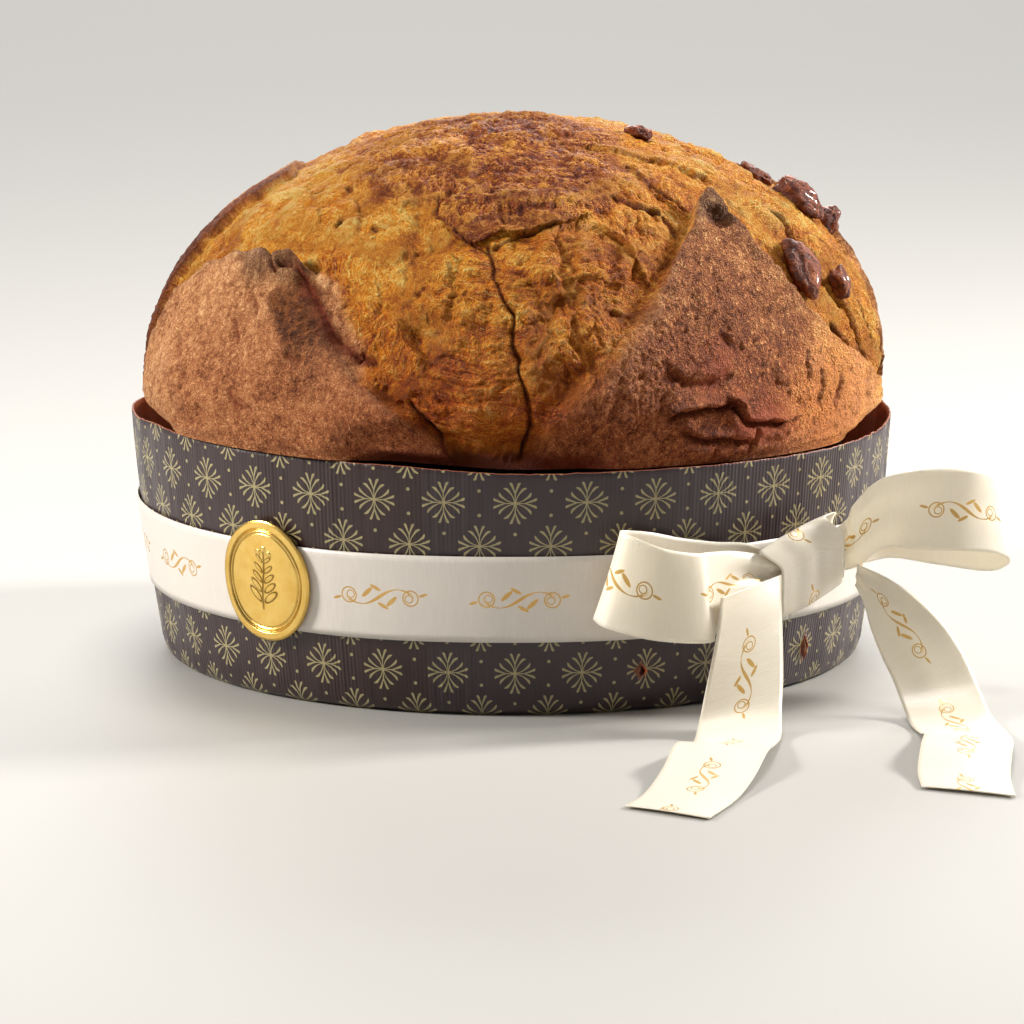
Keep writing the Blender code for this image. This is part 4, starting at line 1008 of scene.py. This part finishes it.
def make_satin(name, dark, light, through):
    """Satin with fine cross ribs and a gold scroll ornament; reads along and across the ribbon in mm."""
    n = Net(name)
    lay = n.vector("lay")
    s, t, printed = n.split(lay)
    x = n.repeat(s, SCROLL_PITCH)

    def ring(cx, cy, r, w):
        return abs(n.length(x - cx, t - cy) - r) / w

    def leaf(cx, cy, lx, ly, lean):
        dx, dy = x - cx, t - cy
        cos, sin = math.cos(lean), math.sin(lean)
        return n.length(dx * (cos / lx) + dy * (sin / lx), dx * (-sin / ly) + dy * (cos / ly))

    # The stem is drawn with an even width across its wave, pressed harder where it is steep.
    phase = x * (math.pi / SCROLL_HALF)
    swing = n.math("COSINE", phase)
    lean = n.math("SQRT", 1 + (swing * (SCROLL_WAVE * math.pi / SCROLL_HALF)) ** 2)
    press = 0.14 + abs(swing) ** 2 * 0.34
    stem = abs(t - n.math("SINE", phase) * SCROLL_WAVE) / (press * lean)
    marks = [n.math("MAXIMUM", stem, abs(x) / 9.4)]
    for k in (-1, 1):
        marks += [ring(9.2 * k, -0.1 * k, 2.2, 0.2), ring(8.7 * k, -0.3 * k, 1.1, 0.16),
                  leaf(3.6 * k, -1.2 * k, 2.1, 0.62, 0.75), leaf(1 * k, -2.6 * k, 1.7, 0.5, -0.5),
                  leaf(12.9 * k, 0.9 * k, 1.3, 0.4, 0.3)]
    foil = (1 - n.step(0.85, 1.2, n.least(*marks))) * printed
    # Cross ribs, and the thread's small unevenness.
    rib = n.math("SINE", s * (2 * math.pi / RIB_PITCH))
    slub = n.noise(n.scaled(lay, (1.6, 0.12, 0)), 1, 3, 0.6)
    wear = n.noise(n.place(), 0.08, 2, 0.5)
    cream = n.mix(wear * 0.12, n.mix(slub, dark, light), rgb(232, 214, 184))
    gold = n.mix(wear, rgb(196, 150, 72), rgb(224, 184, 108))
    relief = (rib * 0.28 + slub * 0.5) * (1 - foil * 0.7)
    return n.finish(Base_Color=n.mix(foil, cream, gold), Roughness=0.27 - foil * 0.05 + slub * 0.08,
                    Metallic=foil * 0.4, Normal=n.bump(relief, 0.00006, 0.6), Anisotropic=0.5,
                    Sheen_Weight=0.05, Sheen_Roughness=0.3, Sheen_Tint=rgb(255, 248, 232),
                    Specular_IOR_Level=0.6, Subsurface_Weight=through, Subsurface_Scale=1,
                    Subsurface_Radius=(0.002, 0.0018, 0.0014))


# Thickness of the ribbon in mm, and which of its two faces carry the scroll.
RIBBON_THICK = 0.35
TOP_PRINTED, UNDER_PRINTED = (1, 0), (0, 1)


def make_ribbon(name, node, mid, across, mat, start, printed=TOP_PRINTED):
    """Ribbon as a thin closed sheet, from a grid of centre points and the way across at each station."""
    rows, cols = mid.shape[:2]
    half = unit(np.cross(np.gradient(mid, axis=0), across)) * RIBBON_THICK / 2
    run = np.cumsum([0, *np.linalg.norm(np.diff(mid[:, cols // 2], axis=0), axis=1)])
    t = RIBBON_W / 2 * np.linspace(-1, 1, cols)
    lay = np.stack(np.broadcast_arrays(run[:, None] + start, [*t, *t[::-1]], np.repeat(printed, cols)), -1)
    around = 2 * cols
    c = np.arange(cols - 1)
    end = np.stack([c, c + 1, around - 2 - c, around - 1 - c], -1)
    quads = np.vstack([grid_quads(rows, around, closed=True), end[:, ::-1], end + (rows - 1) * around])
    verts = np.concatenate([mid + half, (mid - half)[:, ::-1]], 1)
    obj = quad_object(name, verts, quads[:, ::-1], mat, vectors={"lay": lay})
    place(obj, "ribbon", node)


def make_band(satin):
    turn = np.linspace(0, 2 * math.pi, 420, endpoint=False) + math.radians(KNOT_TURN + 6)
    w = np.linspace(0, 1, 13)
    z = BAND_Z[0] + (BAND_Z[1] - BAND_Z[0]) * w
    here = circle(turn, 4)
    slack = 0.16 * value_noise(here, 301) + 0.05 * value_noise(here * 6, 302)
    sag = 0.35 * value_noise(here * 0.6, 303)
    r = case_radius(z) + 0.62 + slack[:, None] + 0.06 * np.sin(w * math.pi)
    mid = polar(r, turn[:, None], z + sag[:, None])
    mid = np.concatenate([mid, mid[:1]])
    lead = (turn[0] - math.radians(5)) * 109
    make_ribbon("band", "ribbon_band", mid, mid[:, -1:] - mid[:, :1], satin, lead)


# Bow: edge curves as in the solids, led on into the knot.
LOOP_LEFT = (
    ((80.5, -86.6, 44), (74.3, -91.2, 44.5), (65.5, -94.5, 48), (56.9, -99, 49.2), (46.9, -104.5, 51.4),
     (38.4, -110, 54), (31, -115, 55.4), (30.4, -119, 55.7), (33.4, -122, 54.9), (42.2, -122, 51.5),
     (51.2, -118, 49.5), (54.6, -113, 48.9), (63.2, -103.5, 47.4), (76.2, -93.6, 43.5), (81.5, -88.5, 43.5)),
    ((80.5, -86.6, 33), (74.3, -91.2, 30), (65, -95, 27.5), (55.5, -99.5, 26), (44.5, -105.5, 26.8),
     (33, -111, 29), (23.6, -114.5, 30.6), (23.3, -119.5, 30.4), (27.1, -124, 29.1), (39.8, -125, 26.2),
     (54.6, -121, 24.8), (57.2, -115, 26.7), (66, -104, 31.6), (76.5, -93.9, 31.5), (81.5, -88.8, 34)),
)
LOOP_RIGHT = (
    ((86.5, -82.5, 46.5), (94.4, -77.6, 51), (96.8, -80, 56.5), (104.1, -81, 63.7), (114, -81, 66.2),
     (123.4, -79, 66.6), (131.4, -76, 65.6), (136.9, -71, 63.3), (139.8, -65, 60.2), (138.8, -60, 58.8),
     (133, -57, 57.9), (121.5, -57, 58.5), (109.7, -62, 54.5), (100, -69.5, 51), (92.8, -75, 48.5),
     (86, -80.5, 46)),
    ((86.5, -82.8, 36.5), (94.8, -77.9, 37), (98.8, -79.5, 38.8), (106.1, -80, 43.9), (113.4, -81, 43.8),
     (121.4, -80, 43.1), (129, -78, 42.6), (136.8, -73, 41.2), (142.6, -66, 38), (141.6, -59, 34.3),
     (136.4, -56, 32.6), (121.9, -56, 34.6), (109.1, -61, 37.5), (100, -69.5, 37.6), (93.1, -74.8, 37.5),
     (86, -80.5, 36.5)),
)
TAIL_LEFT = (
    ((58, -116.5, 36.7), (57.2, -119.5, 29.5), (55.8, -122, 22), (53.6, -125, 12), (51.6, -130, 4.2),
     (49.8, -140, 1), (47.4, -152, 3.2), (44, -167, 6.6), (40, -184, 3.4), (35, -201, 0.9),
     (29.5, -215, 0.8)),
    ((75.6, -97.2, 39.5), (75.4, -101.5, 33), (75.6, -105.5, 25), (75.6, -112.5, 14), (74.9, -121, 5.8),
     (74.2, -134, 1.6), (72.1, -150, 2.8), (68.8, -169, 4.8), (64.3, -189, 2.4), (58.8, -208, 0.8),
     (51, -229, 0.8)),
)
TAIL_RIGHT = (
    ((97.6, -81.6, 33.5), (99.7, -86, 28.6), (101.5, -90, 22.2), (104.1, -94.5, 15.8), (107.3, -99.5, 9.4),
     (109.6, -106.5, 3.6), (111, -118, 1), (112.6, -131, 1.6), (112.5, -147, 4.8),
     (110.5, -163, 5.4), (108.5, -179, 2), (108.5, -193, 0.8)),
    ((97.9, -81, 39.5), (105.8, -82.5, 35.9), (113.3, -85.5, 31.5), (121, -89, 24.8), (126.9, -94.5, 16.9),
     (131, -101.5, 8.4), (134, -111.5, 2.2), (137, -127, 0.9), (137, -146.5, 2.6),
     (135, -165.5, 3.4), (133, -184, 1.4), (132.5, -204, 0.8)),
)


def make_bow(satin, tail_satin_shaded):
    for name, node, (one, other), start, held, rests_on in (
        ("loop_left", "bow_loop_left", LOOP_LEFT, 12, "folded", ["band", "knot"]),
        ("loop_right", "bow_loop_right", LOOP_RIGHT, 30, "folded", ["knot"]),
        ("tail_left", "ribbon_tail_left", TAIL_LEFT, 14, "draped", ["knot", "floor"]),
        ("tail_right", "ribbon_tail_right", TAIL_RIGHT, 20, "draped", ["knot", "floor"]),
    ):
        loop = "loop" in name
        a, b = spline(one, 200)[:, None], spline(other, 200)[:, None]
        across = b - a
        w = np.linspace(0, 1, 21)[:, None]
        mid = a * (1 - w) + b * w
        n = unit(np.cross(unit(np.gradient(mid, axis=0)), across))
        # Pleated where it is gathered into the knot, slightly domed where it is full width.
        w = np.linspace(-1, 1, 21)
        gather = np.clip((RIBBON_W - np.linalg.norm(across, axis=2)) / RIBBON_W, 0, 1)
        pleat = (0.7 if name == "tail_right" else 1.4) * gather * np.cos(w * 6 + 0.7)
        pleat = pleat + 0.35 * (1 - w * w) * (1 - gather)
        mid = mid + n * (pleat if loop else np.maximum(pleat, -0.2) * 0.8)[:, :, None]
        if not loop:
            mid[:, :, 2] = np.maximum(mid[:, :, 2], RIBBON_THICK)
        make_ribbon(name, node, mid, across, satin if loop else tail_satin_shaded, start,
                    UNDER_PRINTED if loop else TOP_PRINTED)


def make_knot(satin):
    turn = math.radians(KNOT_TURN)
    along = np.array([math.cos(turn), math.sin(turn), 0])
    out, up = polar(1, turn, 0), np.array([0, 0, 1])
    hx, hy, hz = KNOT_HALF
    t = np.linspace(0, 2 * math.pi, 121)[:, None]
    s = np.linspace(-1, 1, 25)
    cy, cz = np.sin(t), np.cos(t)
    body = np.sign(cy) * np.abs(cy) ** 0.75 * (hy - 0.2)
    tall = np.sign(cz) * np.abs(cz) ** 0.72 * (hz - 0.2)
    crease = 0.40 * np.cos(s * 5.5 + 0.8) + 0.16 * np.cos(s * 11 + 2)
    slide = -2.6 - 5.5 * smooth(0.2, 1, cz) + 1 * smooth(0.2, 1, -cz)
    aside = slide * (1.15 - 0.15 * s) * smooth(-0.4, 0.4, cy)
    mid = (np.array(KNOT_CENTRE) + along * (s * hx + aside)[:, :, None]
           + out * (body * (1 - 0.10 * s ** 2) + smooth(0, 0.6, cy) * crease * 0.6)[:, :, None]
           + up * (tall * (1 - 0.08 * s ** 2) + 3.4 * s)[:, :, None])
    make_ribbon("knot", "bow_knot", mid, mid[:, -1:] - mid[:, :1], satin, 3)


# Seal: azimuth and height of its middle, half sizes in mm, lean, and how far it stands off the case.
SEAL_AZ, SEAL_Z = math.radians(-39), 35.8
SEAL_HALF, SEAL_LEAN, SEAL_OFF = (15.4, 18), math.radians(-6), 1.72
# Where its two rim lines and the bead between them run, as shares of its radius.
OUTER_LINE, BEAD, INNER_LINE = 0.845, 0.812, 0.780


def make_gold():
    n = Net("seal_gold")
    where = n.place()
    tarnish = n.noise(where, 0.25, 3, 0.6)
    brush = n.noise(where, 3, 3, 0.7)
    colour = n.mix(tarnish, rgb(222, 174, 74), rgb(250, 218, 134))
    # Darker in the rim's grooves, with painted shade and dark painted reflections, and on the sprig's printed
    # ink.
    colour = n.mix(n.value("shade_and_ink"), colour, rgb(96, 62, 16))
    return n.finish(Base_Color=colour, Roughness=0.16 + brush * 0.16, Metallic=1,
                    Normal=n.bump(brush, 0.00008, 0.5))


def make_seal(gold):
    rings, spokes = ((110, 200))
    rho = np.linspace(0, 1, rings)[:, None]
    t = np.linspace(0, 2 * math.pi, spokes, endpoint=False)
    wob = 1 + (0.018 * np.sin(2 * t + 0.6) + 0.010 * np.sin(3 * t + 0.3) + 0.004 * np.sin(5 * t)) * rho
    x = SEAL_HALF[0] * np.cos(t) * (1 - 0.07 * np.sin(t)) * rho * wob
    y = SEAL_HALF[1] * np.sin(t) * rho * wob
    lift = 0.8 + 0.25 * (1 - rho ** 2) + 0.30 * smooth(0.84, 0.88, rho) * (1 - smooth(0.965, 1, rho))
    lift = lift - 0.40 * bell(rho - OUTER_LINE, 0.016) - 0.30 * bell(rho - INNER_LINE, 0.011)
    lift = lift + 0.12 * bell(rho - BEAD, 0.012)
    # Generic sprig: a stem with paired leaves and three berries.
    stem = np.abs(x - 0.25 * np.sin(y * 0.35))
    relief = 0.2 * np.clip(1 - stem / 0.42, 0, 1) * (np.abs(y) < 8.6)
    ink = (1 - smooth(0.16, 0.34, stem)) * (np.abs(y) < 8.6)
    c, s = math.cos(0.72), math.sin(0.72)
    for k in range(5):
        base, size = -6.2 + 2.9 * k, 1 - 0.12 * k
        for side in (-1, 1):
            dx, dy = x * side - 2.7 * size, y - base - 1.7 * size
            a, b = (dx * c + dy * s) / (2.9 * size), (-dx * s + dy * c) / (1.05 * size)
            d = np.sqrt(a * a + b * b)
            leaf = np.clip(1 - d, 0, 1)
            vein = np.clip(1 - np.abs(b) * 5, 0, 1)
            relief = np.maximum(relief, 0.28 * np.sqrt(leaf) - 0.10 * vein * (leaf > 0))
            ink = np.maximum(ink, 1 - smooth(0.10, 0.24, np.abs(d - 0.92)))
    for bx, by in ((0, 9.2), (-1.9, 8), (1.9, 8)):
        d2 = ((x - bx) ** 2 + (y - by) ** 2) / 0.95 ** 2
        relief = np.maximum(relief, 0.3 * np.sqrt(np.clip(1 - d2, 0, 1)))
    z = SEAL_Z + x * math.sin(SEAL_LEAN) + y * math.cos(SEAL_LEAN)
    turn = SEAL_AZ + (x * math.cos(SEAL_LEAN) - y * math.sin(SEAL_LEAN)) / 110
    r = case_radius(z) + SEAL_OFF
    back_rows = np.linspace(rings - 1, 0, 8).round().astype(int)
    g = np.concatenate([polar(r + lift + relief, turn, z), polar(r, turn, z)[back_rows]])
    quads = grid_quads(len(g), spokes, closed=True)[:, [0, 3, 2, 1]]
    # Painted shade and dark painted reflections in the rim's grooves, heavier on one side, and the sprig's
    # printed ink.
    shaded_side = np.clip(0.55 + 0.45 * np.cos(t - 3.9) + 0.35 * np.cos(2 * t - 0.6), 0.15, 1)
    dark = shaded_side * np.maximum(bell(rho - OUTER_LINE, 0.016), 0.8 * bell(rho - 0.785, 0.010))
    shade_and_ink = np.concatenate([np.maximum(0.85 * dark, 0.7 * ink), 0 * x[back_rows]])
    place(quad_object("seal_disc", g, quads, gold, {"shade_and_ink": shade_and_ink}), "seal_gold", "seal")


# Glazed chestnut pieces, as in the solids: chart place, half sizes down, across and out in mm, and turn.
CHESTNUTS = (
    (20.1, 5.2, 3.6, 2.4, 2, 20),
    (41.6, -3.5, 4.8, 4, 2.4, -15),
    (50, 4, 8, 5.6, 4.2, 10),
    (57.2, -3, 3.8, 3.4, 4, 40),
    (54.2, 30.9, 10.2, 5.6, 4, -28),
    (63.2, 23.9, 4.4, 3.2, 2.8, -20),
)


def make_glaze():
    n = Net("chestnut")
    where = n.place()
    vein = n.noise(where, 0.22, 3, 0.6, 1.4)
    speck = n.noise(where, 1.6, 3, 0.6)
    colour = n.ramp(vein * 0.7 + speck * 0.3, (0.30, 52, 17, 5), (0.46, 90, 35, 12), (0.60, 138, 66, 24),
                    (0.78, 214, 134, 62))
    return n.finish(Base_Color=colour, Roughness=0.30 + speck * 0.3, Specular_IOR_Level=0.25,
                    Coat_Weight=0.3, Coat_Roughness=0.08, Normal=n.bump(vein + speck * 0.5, 0.0014, 0.9),
                    Subsurface_Weight=0.1, Subsurface_Radius=(0.005, 0.0014, 0.0006), Subsurface_Scale=1)


def make_chestnuts(glaze):
    for k, (u, v, half_m, half_a, half_o, turn) in enumerate(CHESTNUTS):
        ball = bmesh.new()
        bmesh.ops.create_icosphere(ball, subdivisions=4, radius=1)
        pts = np.array([vert.co[:] for vert in ball.verts])
        lump = 1 + 0.28 * value_noise(pts * 1.4 + 7 * k, 40 + k)
        lump += 0.16 * ridged(pts * 2.2 + 3 * k, 140 + k) + 0.05 * fractal(pts * 5, 150 + k, 2)
        _, n = dome_point(u, v)
        (surface,), _, _ = loaf_surface(np.array([u]), np.array([v]))
        side = unit(np.cross(n, (0, 0, 1)))
        down = np.cross(side, n)
        c, s = math.cos(math.radians(turn)), math.sin(math.radians(turn))
        axes = np.array([half_m * (down * c + side * s), half_a * (side * c - down * s), half_o * n])
        world = surface + n * (half_o * 0.45) + (pts * lump[:, None]) @ axes
        for vert, co in zip(ball.verts, world * MM):
            vert.co = co
        name = "chestnut_piece_%d" % (k + 1)
        mesh = bpy.data.meshes.new(name)
        ball.to_mesh(mesh)
        ball.free()
        mesh.polygons.foreach_set("use_smooth", np.ones(len(mesh.polygons), dtype=bool))
        place(add_object(name, mesh, glaze), "chestnut", "chestnut_%d" % (k + 1))


make_stage()
make_loaf(make_crust())
make_case(make_case_paper())
# One ribbon in three colours set by how each part is lit: the band greyer, with painted shade and dark
# painted reflections, and the tails darker, with painted shade, than the bow's cream.
bow_satin = make_satin("satin", rgb(232, 220, 199), rgb(243, 234, 216), 0.35)
make_band(make_satin("band_satin_shaded", rgb(208, 201, 193), rgb(226, 220, 213), 0))
make_bow(bow_satin, make_satin("tail_satin_shaded", rgb(212, 201, 182), rgb(224, 215, 198), 0.30))
make_knot(bow_satin)
make_seal(make_gold())
make_chestnuts(make_glaze())
